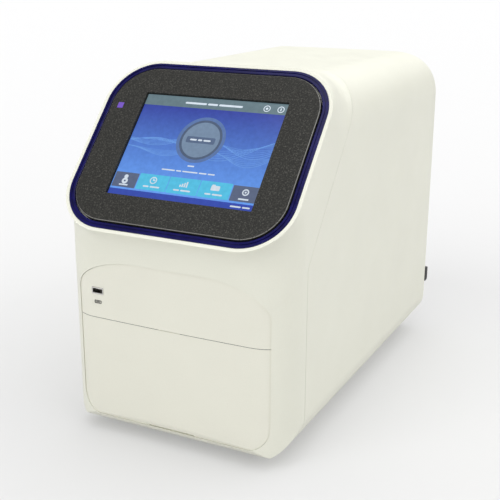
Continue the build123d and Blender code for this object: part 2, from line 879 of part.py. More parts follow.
def drawer_tray():
    """Folded tray: floor, side walls with ledges for the heat sink, and the front flange."""
    length = tray_rear_y - tray_front_y
    middle = (tray_rear_y + tray_front_y) / 2
    wall_top = block_top_z - deck_drop - deck_thick
    sink_middle = block_y
    with BuildPart() as tray:
        with BuildSketch(Plane.XY.offset(tray_z)):
            with Locations((0, middle)):
                Rectangle(2 * tray_half, length)
        extrude(amount=sheet)
        with BuildSketch(Plane.XY.offset(tray_z + sheet)):
            for side in (-1, 1):
                with Locations((side * (tray_half - sheet / 2), middle)):
                    Rectangle(sheet, length)
        extrude(amount=wall_top - tray_z - sheet)
        with BuildSketch(Plane.XZ.offset(-tray_front_y)):
            with Locations((0, (tray_z + wall_top) / 2)):
                Rectangle(2 * tray_half, wall_top - tray_z)
        extrude(amount=-sheet)
        with BuildSketch(Plane.XY.offset(sink_z - sheet)):
            for side in (-1, 1):
                with Locations((side * (tray_half - sheet - ledge_reach / 2), sink_middle)):
                    Rectangle(ledge_reach, sink_length)
        extrude(amount=sheet)
        with BuildSketch(Plane.YZ.offset(-tray_half)):
            with Locations((
                tray_rear_y - tray_notch_rear - tray_notch_length / 2, (tray_z + wall_top) / 2 + tray_notch_rise,
            )):
                Rectangle(tray_notch_length, tray_notch_height)
        extrude(amount=2 * tray_half, mode=Mode.SUBTRACT)
        with BuildSketch(Plane.XY.offset(tray_z)):
            with Locations((0, sink_middle)):
                with GridLocations(vent_length + 8, 3 * vent_width, 3, 5):
                    Rectangle(vent_length, vent_width)
        extrude(amount=sheet, mode=Mode.SUBTRACT)
    return tray.part


def heat_sink():
    """Finned heat sink under the sample block, its fins along the air flow."""
    base_half = tray_half - sheet - fit_gap
    with BuildPart() as sink:
        with BuildSketch(Plane.XY.offset(sink_z)):
            with Locations((0, block_y)):
                Rectangle(2 * base_half, sink_length - 2 * fit_gap)
        extrude(amount=sink_base)
        with BuildSketch(Plane.XY.offset(sink_z)):
            with Locations((0, block_y)):
                with GridLocations(sink_fin_pitch, 1, sink_fin_count, 1):
                    Rectangle(sink_fin_thick, sink_length - 2 * fit_gap)
        extrude(amount=-sink_fin_height)
    return sink.part


def peltier_modules():
    """Thermoelectric modules between the heat sink and the block."""
    pitch = (block_length - peltier_gap) / peltier_columns
    with BuildPart() as modules:
        with BuildSketch(Plane.XY.offset(sink_z + sink_base)):
            with Locations((0, block_y)):
                with GridLocations(pitch, peltier_pitch, peltier_columns, 2):
                    Rectangle(pitch - peltier_gap, peltier_size)
        extrude(amount=peltier_thick)
    return modules.part


def sample_block():
    """Metal block with a grid of tapered wells, one for each tube of a plate."""
    low_radius = well_radius - well_depth * tan(radians(well_taper))
    with BuildPart() as well:
        with BuildSketch(Plane.XY.offset(block_top_z - well_depth)):
            RegularPolygon(low_radius, 6)
        with BuildSketch(Plane.XY.offset(block_top_z)):
            RegularPolygon(well_radius, 6)
        loft(ruled=True)
    with BuildPart() as block:
        with BuildSketch(Plane.XY.offset(block_base_z)):
            with Locations((0, block_y)):
                RectangleRounded(block_length, block_width, block_corner)
        extrude(amount=block_height)
        with Locations((0, block_y)):
            with GridLocations(well_pitch, well_pitch, well_columns, well_rows):
                add(well.part, mode=Mode.SUBTRACT)
    return block.part


def drawer_deck():
    """Moulded deck over the tray, open round the sample block."""
    rear = block_y + sink_length / 2
    length = rear - tray_front_y
    with BuildPart() as deck:
        with BuildSketch(Plane.XY.offset(block_top_z - deck_drop - deck_thick)):
            with Locations((0, tray_front_y + length / 2)):
                Rectangle(2 * tray_half, length)
            with Locations((0, block_y)):
                RectangleRounded(
                    block_length + 2 * deck_margin, block_width + 2 * deck_margin, block_corner, mode=Mode.SUBTRACT,
                )
        extrude(amount=deck_thick)
        with BuildSketch(Plane.XY.offset(block_top_z - deck_drop)):
            with Locations((0, tray_front_y + deck_groove_y)):
                Rectangle(2 * tray_half - 2.5 * deck_groove, deck_groove)
        extrude(amount=-deck_thick / 2, mode=Mode.SUBTRACT)
    return deck.part


# Fans

def fan_frame(plane):
    """Square fan frame with its bore, hub plate, pin and four struts."""
    with BuildPart() as frame:
        with BuildSketch(plane):
            Rectangle(fan_size, fan_size)
            Circle(fan_bore, mode=Mode.SUBTRACT)
        extrude(amount=fan_depth)
        with BuildSketch(plane):
            Circle(fan_hub)
            with PolarLocations(0, 4):
                with Locations((fan_bore / 2, 0)):
                    Rectangle(fan_bore + fan_strut, fan_strut)
        extrude(amount=sheet)
        with BuildSketch(plane.offset(sheet)):
            Circle(shaft_radius)
        extrude(amount=fan_depth / 2)
    return frame.part


def fan_rotor(plane):
    """Fan hub with pitched blades, turning on the frame's pin."""
    start = sheet + fan_tip_gap
    depth = fan_depth - start - fan_tip_gap
    sweep = fan_chord / 2 * cos(radians(fan_pitch))
    blade_tip = sqrt((fan_bore - fan_tip_gap) ** 2 - (sweep + fan_blade_thick) ** 2)
    with BuildPart() as rotor:
        with BuildSketch(plane.offset(start)):
            Circle(fan_hub)
        extrude(amount=depth)
        chamfer(rotor.faces().sort_by(Axis((0, 0, 0), plane.z_dir))[-1].edges(), fan_blade_thick)
        for blade in range(fan_blades):
            turn = 2 * pi * blade / fan_blades
            radial = plane.x_dir * cos(turn) + plane.y_dir * sin(turn)
            root = plane.origin + plane.z_dir * (start + depth / 2) + radial * (fan_hub - fan_blade_thick)
            with BuildSketch(Plane(origin=root, x_dir=plane.z_dir, z_dir=radial)):
                Rectangle(fan_chord, fan_blade_thick, rotation=90 - fan_pitch)
            extrude(amount=blade_tip - fan_hub + fan_blade_thick)
        with BuildSketch(plane.offset(start)):
            Circle(shaft_radius + post_gap)
        extrude(amount=fan_depth / 2, mode=Mode.SUBTRACT)
    return rotor.part


def block_fan_plane():
    """Block fan: stands behind the heat sink and blows backwards."""
    return Plane(
        origin=(0, block_fan_y, tray_z + sheet + fan_size / 2), x_dir=(1, 0, 0), z_dir=(0, 1, 0),
    )


def exhaust_plane(side):
    """Exhaust fan on the rear panel, struts inwards."""
    return Plane(
        origin=(side * exhaust_x, rear_panel_y - fan_depth, exhaust_z), x_dir=(1, 0, 0), z_dir=(0, 1, 0),
    )


def fan_guards():
    """Wire guards over the exhaust fans, outside the rear panel."""
    with BuildPart() as guards:
        for side in (-1, 1):
            with BuildSketch(exhaust_plane(side).offset(fan_depth + sheet)):
                for ring in range(1, guard_rings + 1):
                    radius = fan_bore * ring / guard_rings
                    Circle(radius + guard_wire / 2)
                    Circle(radius - guard_wire / 2, mode=Mode.SUBTRACT)
                for turn in (45, 135):
                    Rectangle(fan_size + 7 * guard_wire, guard_wire, rotation=turn)
            extrude(amount=guard_wire)
    return guards.part


# Drawer drive

def round_bar(plane, radius, length):
    """Round bar standing on a plane."""
    with BuildPart() as bar:
        with BuildSketch(plane):
            Circle(radius)
        extrude(amount=length)
    return bar.part


def drive_screw():
    """Lead screw under the tray."""
    plane = Plane(origin=(0, drive_front_y, drive_z), x_dir=(1, 0, 0), z_dir=(0, 1, 0))
    return round_bar(plane, drive_radius, drive_rear_y - drive_front_y - fit_gap)


def drive_nut():
    """Nut block that hangs from the tray on the lead screw."""
    low = drive_z - 2 * drive_radius
    with BuildPart() as nut:
        with BuildSketch(Plane.XY.offset(low)):
            with Locations((0, nut_y)):
                Rectangle(6 * drive_radius, nut_length)
        extrude(amount=tray_z - low)
        with BuildSketch(Plane.XZ.offset(-nut_y - nut_length)):
            with Locations((0, drive_z)):
                Circle(drive_radius + post_gap)
        extrude(amount=2 * nut_length, mode=Mode.SUBTRACT)
    return nut.part


def drive_bearings():
    """Front bearing block and rear motor plate of the lead screw."""
    base = pan_z + sheet
    tall = drive_z + small_motor / 2 - base
    with BuildPart() as blocks:
        with BuildSketch(Plane.XZ.offset(-drive_front_y - bearing_front)):
            with Locations((0, base + tall / 2 - drive_radius)):
                Rectangle(small_motor, tall - 2 * drive_radius)
        extrude(amount=-drive_bearing)
        with BuildSketch(Plane.XZ.offset(-drive_rear_y)):
            with Locations((0, base + tall / 2)):
                Rectangle(small_motor + 8, tall)
        extrude(amount=-motor_plate)
        with BuildSketch(Plane.XZ.offset(-drive_front_y)):
            with Locations((0, drive_z)):
                Circle(drive_radius + post_gap)
        extrude(amount=-drive_bearing - 8, mode=Mode.SUBTRACT)
    return blocks.part


def motor(plane, size, length):
    """Stepper motor: laminated body between two end bells, with cut corners."""
    bell = length / 4
    with BuildPart() as body:
        for start, thick, corner in (
            (0, bell, size / 12), (bell, length - 2 * bell, size / 6), (length - bell, bell, size / 12),
        ):
            with BuildSketch(plane.offset(start)) as section:
                Rectangle(size, size)
                chamfer(section.vertices(), corner)
            extrude(amount=thick)
    return body.part


def drive_motor():
    """Motor behind the tray that turns the lead screw."""
    plane = Plane(
        origin=(0, drive_rear_y + motor_plate, drive_z), x_dir=(1, 0, 0), z_dir=(0, 1, 0),
    )
    return motor(plane, small_motor, small_motor_length)


# Heated cover and its lift

def heated_plate():
    """Heated metal plate with one light slot above each row of wells."""
    with BuildPart() as heater:
        with BuildSketch(Plane.XY.offset(plate_z)):
            with Locations((0, block_y)):
                RectangleRounded(plate_length, plate_width, block_corner)
                with GridLocations(1, well_pitch, 1, well_rows):
                    Rectangle(well_pitch * well_columns, light_slot, mode=Mode.SUBTRACT)
        extrude(amount=plate_thick)
    return heater.part


def cover_carrier():
    """Frame that carries the heated plate on four guide posts, with the lift arm."""
    with BuildPart() as carrier:
        with BuildSketch(Plane.XY.offset(carrier_z)):
            with Locations((0, block_y)):
                Rectangle(2 * carrier_half_x, 2 * carrier_half_y)
                Rectangle(lens_opening_x - 8, lens_opening_y - 8, mode=Mode.SUBTRACT)
            with Locations(((carrier_half_x + lift_arm_end) / 2 - sheet, block_y)):
                Rectangle(lift_arm_end - carrier_half_x + 2 * sheet, 6 * lift_radius)
        extrude(amount=carrier_thick)
        with BuildSketch(Plane.XY.offset(carrier_z + carrier_thick)):
            with Locations((0, block_y)):
                with GridLocations(2 * guide_x, 2 * guide_y, 2, 2):
                    Rectangle(2 * (guide_radius + sheet), 2 * (guide_radius + sheet))
        extrude(amount=carrier_thick / 2)
        with BuildSketch(Plane.XY.offset(carrier_z)):
            with Locations((0, block_y)):
                with GridLocations(2 * guide_x, 2 * guide_y, 2, 2):
                    Circle(guide_radius + post_gap)
            with Locations((lift_x, block_y)):
                Circle(lift_radius + post_gap)
        extrude(amount=2 * carrier_thick, mode=Mode.SUBTRACT)
    return carrier.part


def guide_posts():
    """Four posts under the deck that guide the heated cover."""
    low = block_top_z + cover_gap + 3
    with BuildPart() as posts:
        with BuildSketch(Plane.XY.offset(low)):
            with Locations((0, block_y)):
                with GridLocations(2 * guide_x, 2 * guide_y, 2, 2):
                    Circle(guide_radius)
        extrude(amount=deck_z - low)
    return posts.part


def lift_screw():
    """Lead screw that raises and lowers the heated cover."""
    low = block_top_z + cover_gap + 3
    plane = Plane(origin=(lift_x, block_y, low), x_dir=(1, 0, 0), z_dir=(0, 0, 1))
    return round_bar(plane, lift_radius, deck_z + sheet - low - fit_gap)


def lift_motor():
    """Motor on the deck above the lift screw."""
    plane = Plane(origin=(lift_x, block_y, deck_z + sheet), x_dir=(1, 0, 0), z_dir=(0, 0, 1))
    return motor(plane, large_motor, large_motor_length)


# Optics

def fold_plane(centre_y):
    """Plane at 45 degrees that turns the vertical beam backwards."""
    return Plane(origin=(0, centre_y, beam_z), x_dir=(1, 0, 0), z_dir=(0, -1, 1))


def field_lens():
    """Rectangular lens over the opening in the deck: a flat base with a crowned top."""
    base_z = deck_z + sheet
    edge_z = base_z + lens_edge
    with BuildPart() as lens:
        with BuildSketch(Plane.YZ.offset(-lens_length / 2)):
            with BuildLine():
                half = lens_width / 2
                Polyline(
                    (block_y - half, edge_z), (block_y - half, base_z),
                    (block_y + half, base_z), (block_y + half, edge_z),
                )
                ThreePointArc((block_y + half, edge_z), (block_y, edge_z + lens_crown), (block_y - half, edge_z))
            make_face()
        extrude(amount=lens_length)
        with BuildSketch(Plane.XZ.offset(-block_y + lens_width)):
            with BuildLine():
                half = lens_length / 2
                Polyline((-half, edge_z), (-half, base_z), (half, base_z), (half, edge_z))
                ThreePointArc((half, edge_z), (0, edge_z + lens_crown), (-half, edge_z))
            make_face()
        extrude(amount=-2 * lens_width, mode=Mode.INTERSECT)
    return lens.part


def optics_chassis():
    """Open casting that holds the mirror and the beam splitter and carries both filter stations."""
    base_z = deck_z + sheet
    slope_in = beam_z - block_y + mirror_thick * sqrt(2)
    slope = slope_in + optics_plate * sqrt(2)
    inner = optics_half - optics_plate
    with BuildPart() as chassis:
        with BuildSketch(Plane.YZ.offset(-optics_half)):
            with BuildLine():
                Polyline(
                    (base_z + 6 - slope, base_z), (base_z + 6 - slope, base_z + 6),
                    (optics_top_z - slope, optics_top_z), (optics_rear_y, optics_top_z),
                    (optics_rear_y, base_z), close=True,
                )
            make_face()
        extrude(amount=2 * optics_half)
        with BuildSketch(Plane.YZ.offset(-inner)):
            with BuildLine():
                rear = optics_rear_y - optics_plate
                top = optics_top_z - optics_plate
                Polyline(
                    (base_z - slope_in, base_z), (top - slope_in, top), (rear, top), (rear, base_z), close=True,
                )
            make_face()
        extrude(amount=2 * inner, mode=Mode.SUBTRACT)
        with BuildSketch(Plane.XY.offset(optics_top_z)):
            with Locations((0, splitter_y)):
                Circle(port_radius)
        extrude(amount=-2 * optics_plate, mode=Mode.SUBTRACT)
        with BuildSketch(Plane.XZ.offset(-optics_rear_y)):
            with Locations((0, beam_z)):
                Circle(port_radius)
        extrude(amount=2 * optics_plate, mode=Mode.SUBTRACT)
        with BuildSketch(Plane.YZ.offset(-optics_half)):
            for shift, rise, long, tall in (splitter_window, mirror_window):
                with Locations((splitter_y + shift, base_z + rise)):
                    Rectangle(long, tall)
        extrude(amount=2 * optics_half, mode=Mode.SUBTRACT)
    return chassis.part


def fold_mirror():
    """Mirror above the block."""
    return plate(
        fold_plane(block_y), 2 * (optics_half - optics_plate), mirror_length, mirror_thick,
    )


def beam_splitter():
    """Coated glass plate between the chassis sides."""
    return plate(fold_plane(splitter_y), 2 * (optics_half - optics_plate), splitter_length, mirror_thick / 2)


def excitation_plane(rise=0.0):
    """Filter station on top of the chassis, its light going down."""
    return Plane(origin=(0, splitter_y, optics_top_z + rise), x_dir=(1, 0, 0), z_dir=(0, 0, 1))


def emission_plane(rise=0.0):
    """Filter station behind the chassis, its light going backwards."""
    return Plane(origin=(0, optics_rear_y + rise, beam_z), x_dir=(1, 0, 0), z_dir=(0, 1, 0))


def filter_bridge(plane):
    """Plate on four posts over a filter wheel, open for the beam and the wheel's shaft."""
    middle = (bridge_far - bridge_near) / 2
    post_span = bridge_far + bridge_near - bridge_post
    with BuildPart() as bridge:
        with BuildSketch(plane.offset(bridge_rise)):
            with Locations((middle, 0)):
                Rectangle(bridge_far + bridge_near, 2 * bridge_half)
            Circle(lamp_radius + fit_gap, mode=Mode.SUBTRACT)
            with Locations((wheel_offset, 0)):
                Circle(shaft_radius + 1, mode=Mode.SUBTRACT)
        extrude(amount=bridge_thick)
        with BuildSketch(plane):
            with Locations((middle, 0)):
                with GridLocations(post_span, 2 * bridge_half - bridge_post, 2, 2):
                    Rectangle(bridge_post, bridge_post)
        extrude(amount=bridge_rise)
    return bridge.part


def filter_wheel(plane):
    """Disc with a ring of filter seats, a hub and its shaft."""
    with BuildPart() as wheel:
        with BuildSketch(plane.offset(wheel_rise)):
            with Locations((wheel_offset, 0)):
                Circle(wheel_radius)
                with PolarLocations(wheel_offset, filter_count, start_angle=180):
                    Rectangle(filter_size + 2 * post_gap, filter_size + 2 * post_gap, mode=Mode.SUBTRACT)
        extrude(amount=wheel_thick)
        with BuildSketch(plane.offset(wheel_rise + wheel_thick)):
            with Locations((wheel_offset, 0)):
                Circle(3 * shaft_radius)
        extrude(amount=wheel_thick)
        with BuildSketch(plane.offset(wheel_rise)):
            with Locations((wheel_offset, 0)):
                Circle(shaft_radius)
        extrude(amount=bridge_rise + bridge_thick - wheel_rise - fit_gap)
    return wheel.part


def filter_glasses(plane):
    """Square coloured filters in the seats of a wheel."""
    with BuildPart() as glasses:
        with BuildSketch(plane.offset(wheel_rise)):
            with Locations((wheel_offset, 0)):
                with PolarLocations(wheel_offset, filter_count, start_angle=180):
                    Rectangle(filter_size, filter_size)
        extrude(amount=wheel_thick)
    return glasses.part


def filter_motor(plane):
    """Motor that turns a filter wheel."""
    centre = plane.offset(bridge_rise + bridge_thick)
    shifted = Plane(
        origin=centre.origin + centre.x_dir * wheel_offset, x_dir=centre.x_dir, z_dir=centre.z_dir,
    )
    return motor(shifted, small_motor, small_motor_length)


def led_lamp():
    """Lamp barrel through the bridge, with a finned heat sink on top."""
    start = excitation_plane(bridge_rise - 2)
    with BuildPart() as lamp:
        with BuildSketch(start):
            Circle(lamp_radius)
        extrude(amount=lamp_barrel)
        with BuildSketch(start.offset(lamp_barrel)):
            with Locations((lamp_radius - lamp_sink / 2, 0)):
                Rectangle(lamp_sink, lamp_sink)
        extrude(amount=4)
        with BuildSketch(start.offset(lamp_barrel + 4)):
            with Locations((lamp_radius - lamp_sink / 2, 0)):
                with GridLocations(1, (lamp_sink - 2) / 7, 1, 8):
                    Rectangle(lamp_sink, 2)
        extrude(amount=16)
    return lamp.part


def camera():
    """Camera behind the emission wheel, its lens barrel through the bridge."""
    start = emission_plane(bridge_rise - 2)
    with BuildPart() as body:
        with BuildSketch(start):
            Circle(lamp_radius)
        extrude(amount=camera_barrel)
        with BuildSketch(start):
            Circle(lamp_radius - 3)
        extrude(amount=3, mode=Mode.SUBTRACT)
        with BuildSketch(start.offset(camera_barrel)):
            with Locations((lamp_radius - lamp_sink / 2, 0)):
                Rectangle(lamp_sink, lamp_sink)
        extrude(amount=camera_length)
    return body.part


# Electronics

def main_board():
    """Control board on the left side frame, on four standoffs."""
    start = Plane(origin=(-frame_in, main_board_y, main_board_z), x_dir=(0, -1, 0), z_dir=(-1, 0, 0))
    with BuildPart() as board:
        with BuildSketch(start.offset(6)):
            Rectangle(main_board_length, main_board_height)
        extrude(amount=board_thick)
        with BuildSketch(start):
            with GridLocations(main_board_length - 4 * standoff_radius, main_board_height - 4 * standoff_radius, 2, 2):
                RegularPolygon(standoff_radius, 6)
        extrude(amount=6)
        with BuildSketch(start.offset(6 + board_thick)):
            with Locations((30, 10)):
                Rectangle(36, 36)
            with Locations((-30, 22), (-30, -2)):
                Rectangle(28, 14)
            with Locations((20, -34), (-44, -34)):
                Rectangle(44, 8)
        extrude(amount=6)
    return board.part


def power_supply():
    """Enclosed power supply on the base pan, with a perforated lid."""
    base = pan_z + sheet
    middle_y = rear_panel_y - supply_rear - supply_depth / 2
    with BuildPart() as supply:
        with BuildSketch(Plane.XY.offset(base)):
            with Locations((supply_x, middle_y)):
                Rectangle(supply_length, supply_depth)
        extrude(amount=supply_height)
        with BuildSketch(Plane.XY.offset(base + supply_height)):
            with Locations((supply_x, middle_y)):
                with GridLocations(3 * vent_width, supply_depth / 3, 7, 2):
                    Rectangle(vent_width, supply_depth / 4)
        extrude(amount=-sheet, mode=Mode.SUBTRACT)
    return supply.part


# Rear fittings

def rear_plane(x, z):
    """Plane on the outer face of the rear panel."""
    return Plane(origin=(x, rear_panel_y + sheet, z), x_dir=(-1, 0, 0), z_dir=(0, 1, 0))


def power_inlet():
    """Mains inlet: flange, body behind the panel, a socket cavity and three blades."""
    start = rear_plane(inlet_x, inlet_z)
    with BuildPart() as inlet:
        with BuildSketch(start):
            Rectangle(inlet_width + 3 * inlet_flange, inlet_height + 3 * inlet_flange)
        extrude(amount=inlet_flange)
        with BuildSketch(start):
            Rectangle(inlet_width, inlet_height)
        extrude(amount=-inlet_body)
        with BuildSketch(start.offset(inlet_flange)) as mouth:
            Rectangle(2 * inlet_half_x, 2 * inlet_half_z)
            chamfer(mouth.vertices().group_by(Axis.Y)[-1], inlet_half_z / 2)
        extrude(amount=-inlet_flange - inlet_cavity, mode=Mode.SUBTRACT)
        with BuildSketch(start.offset(-inlet_cavity)):
            with Locations((0, inlet_half_z / 2 - 1), (-inlet_blade / 2, -2), (inlet_blade / 2, -2)):
                Rectangle(inlet_flange, 2 * inlet_flange)
        extrude(amount=inlet_blade)
    return inlet.part


def switch_housing():
    """Frame of the mains switch."""
    start = rear_plane(inlet_x, switch_z)
    with BuildPart() as frame:
        with BuildSketch(start):
            Rectangle(switch_width + 2 * inlet_flange, switch_height + 2 * inlet_flange)
        extrude(amount=inlet_flange)
        with BuildSketch(start):
            Rectangle(switch_width, switch_height)
        extrude(amount=-switch_cavity - sheet)
        with BuildSketch(start.offset(inlet_flange)):
            Rectangle(rocker_width + 2 * rocker_gap, 2 * (rocker_half + rocker_swing))
        extrude(amount=-switch_cavity, mode=Mode.SUBTRACT)
        for side in (-1, 1):
            wall_x = inlet_x + side * (rocker_width / 2 + rocker_gap)
            with BuildSketch(Plane(origin=(wall_x, rocker_y, switch_z), x_dir=(0, 1, 0), z_dir=(-side, 0, 0))):
                Circle(rocker_pin)
            extrude(amount=rocker_gap + rocker_pin)
    return frame.part


def power_rocker():
    """Rocker of the mains switch, tilted into its off position."""
    tilt = radians(rocker_tilt)
    plane = Plane(
        origin=(inlet_x - rocker_width / 2, rocker_y, switch_z), x_dir=(0, cos(tilt), sin(tilt)), z_dir=(1, 0, 0),
    )
    with BuildPart() as rocker:
        with BuildSketch(plane):
            with BuildLine():
                Polyline(
                    (rocker_rise, rocker_half), (rocker_dip, 0), (rocker_rise, -rocker_half),
                    (-1, 1 - rocker_half), (-2 * rocker_dip, 0), (-1, rocker_half - 1), close=True,
                )
            make_face()
            Circle(rocker_pin + post_gap, mode=Mode.SUBTRACT)
        extrude(amount=rocker_width)
    return rocker.part


def rear_ports():
    """Two host ports, one device port and one network port in metal shells."""
    with BuildPart() as ports:
        for shift, port_width, port_height, port_depth, port_clear in port_sizes:
            plane = rear_plane(port_x - shift, port_z)
            add(socket_shell(plane, port_width, port_height, port_depth, port_shell, port_clear))
    return ports.part


def rear_bumpers():
    """Rubber stops that keep the rear clear of a wall, clipped over the cover's edge."""
    inner = width / 2 - 2 * wall - fit_gap
    edge = width / 2 - fit_gap
    with BuildPart() as bumpers:
        for side in (-1, 1):
            with BuildSketch(Plane.XY.offset(bumper_z - bumper_size / 2)):
                with Locations((side * (inner - 7), (rear_panel_y + sheet + rear_y + bumper_out) / 2)):
                    Rectangle(14, rear_y + bumper_out - rear_panel_y - sheet)
                with Locations((side * (inner - 14 + edge) / 2, rear_y + bumper_out / 2 + fit_gap / 2)):
                    Rectangle(edge - inner + 14, bumper_out - fit_gap)
            extrude(amount=bumper_size)
        fillet(bumpers.edges().filter_by(Axis.X).group_by(Axis.Y)[-1], 3)
    return bumpers.part


pieces = {
    "front_cover": front_cover,
    "main_cover": main_cover,
    "rear_panel": rear_panel,
    "front_panel": front_panel,
    "accent_ring": accent_ring,
    "display_bezel": display_bezel,
    "touch_glass": touch_glass,
    "lcd_panel": lcd_panel,
    "display_bracket": display_bracket,
    "display_board": display_board,
    "status_light": status_light,
    "front_socket": front_socket,
    "base_pan": base_pan,
    "feet": feet,
    "side_frame_left": lambda: side_frame(-1),
    "side_frame_right": lambda: side_frame(1),
    "optics_deck": optics_deck,
    "outer_slides": outer_slides,
    "middle_slides": middle_slides,
    "inner_slides": inner_slides,
    "drawer_front": drawer_front,
    "drawer_tray": drawer_tray,
    "drawer_deck": drawer_deck,
    "heat_sink": heat_sink,
    "peltier_modules": peltier_modules,
    "sample_block": sample_block,
    "block_fan_frame": lambda: fan_frame(block_fan_plane()),
    "block_fan_rotor": lambda: fan_rotor(block_fan_plane()),
    "drive_nut": drive_nut,
    "drive_screw": drive_screw,
    "drive_bearings": drive_bearings,
    "drive_motor": drive_motor,
    "heated_plate": heated_plate,
    "cover_carrier": cover_carrier,
    "guide_posts": guide_posts,
    "lift_screw": lift_screw,
    "lift_motor": lift_motor,
    "field_lens": field_lens,
    "optics_chassis": optics_chassis,
    "fold_mirror": fold_mirror,
    "beam_splitter": beam_splitter,
    "filter_bridges": lambda: pair(filter_bridge(excitation_plane()), filter_bridge(emission_plane())),
    "excitation_wheel": lambda: filter_wheel(excitation_plane()),
    "excitation_filters": lambda: filter_glasses(excitation_plane()),
    "filter_motors": lambda: pair(filter_motor(excitation_plane()), filter_motor(emission_plane())),
    "led_lamp": led_lamp,
    "emission_wheel": lambda: filter_wheel(emission_plane()),
    "emission_filters": lambda: filter_glasses(emission_plane()),
    "camera": camera,
    "main_board": main_board,
    "power_supply": power_supply,
    "exhaust_fan_frames": lambda: pair(fan_frame(exhaust_plane(-1)), fan_frame(exhaust_plane(1))),
    "exhaust_fan_rotor_left": lambda: fan_rotor(exhaust_plane(-1)),
    "exhaust_fan_rotor_right": lambda: fan_rotor(exhaust_plane(1)),
    "fan_guards": fan_guards,
    "power_inlet": power_inlet,
    "switch_housing": switch_housing,
    "power_rocker": power_rocker,
    "rear_ports": rear_ports,
    "rear_bumpers": rear_bumpers,
}


def main():
    """Build every piece, label it and write it as one STEP file."""
    os.makedirs("parts", exist_ok=True)
    for name, build in pieces.items():
        piece = build()
        piece.label = name
        export_step(piece, f"parts/{name}.step")


if __name__ == "__main__":
    main()
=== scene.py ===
"""Looks of the real-time PCR system: finishes, lit display, sample wells, fixings and the studio."""

import json
import logging
import math
from dataclasses import dataclass
from enum import Enum

import bpy
import numpy as np
from mathutils import Matrix, Vector


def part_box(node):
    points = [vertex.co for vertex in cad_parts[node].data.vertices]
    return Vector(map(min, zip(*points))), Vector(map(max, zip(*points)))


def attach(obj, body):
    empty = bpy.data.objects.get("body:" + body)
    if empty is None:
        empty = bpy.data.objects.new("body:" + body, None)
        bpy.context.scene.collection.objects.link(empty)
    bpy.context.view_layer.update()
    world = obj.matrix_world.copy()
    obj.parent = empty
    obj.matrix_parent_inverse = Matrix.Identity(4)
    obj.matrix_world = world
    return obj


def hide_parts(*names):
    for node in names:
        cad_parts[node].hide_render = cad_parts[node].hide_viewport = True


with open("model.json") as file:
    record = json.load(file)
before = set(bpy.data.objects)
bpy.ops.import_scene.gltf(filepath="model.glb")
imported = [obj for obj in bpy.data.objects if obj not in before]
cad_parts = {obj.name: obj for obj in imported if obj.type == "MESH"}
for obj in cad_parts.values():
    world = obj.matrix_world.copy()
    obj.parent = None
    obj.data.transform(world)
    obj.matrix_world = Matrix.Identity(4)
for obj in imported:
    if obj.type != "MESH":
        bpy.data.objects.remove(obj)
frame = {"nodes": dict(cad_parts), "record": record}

MM = 0.001
WELD = 1e-7
LOG = logging.getLogger("scene")
NOISE_RANGE = (0.3, 0.7)
Triple = tuple[float, float, float]
Colour = Triple
Socket = bpy.types.NodeSocket
Material = bpy.types.Material


def screen_colour(red: float, green: float, blue: float) -> Colour:
    """Linear colour of an 8-bit screen colour.

    Args:
        red: Red, 0 to 255.
        green: Green, 0 to 255.
        blue: Blue, 0 to 255.

    Returns:
        The three linear values, 0 to 1.
    """
    shares = np.array([red, green, blue]) / 255
    linear = np.where(shares <= 0.04045, shares / 12.92, ((shares + 0.055) / 1.055) ** 2.4)
    return tuple(float(value) for value in linear)


class Axis(Enum):
    """Direction along which brushed metal was drawn."""

    X = (1.0, 40.0, 40.0)
    Y = (40.0, 1.0, 40.0)
    Z = (40.0, 40.0, 1.0)


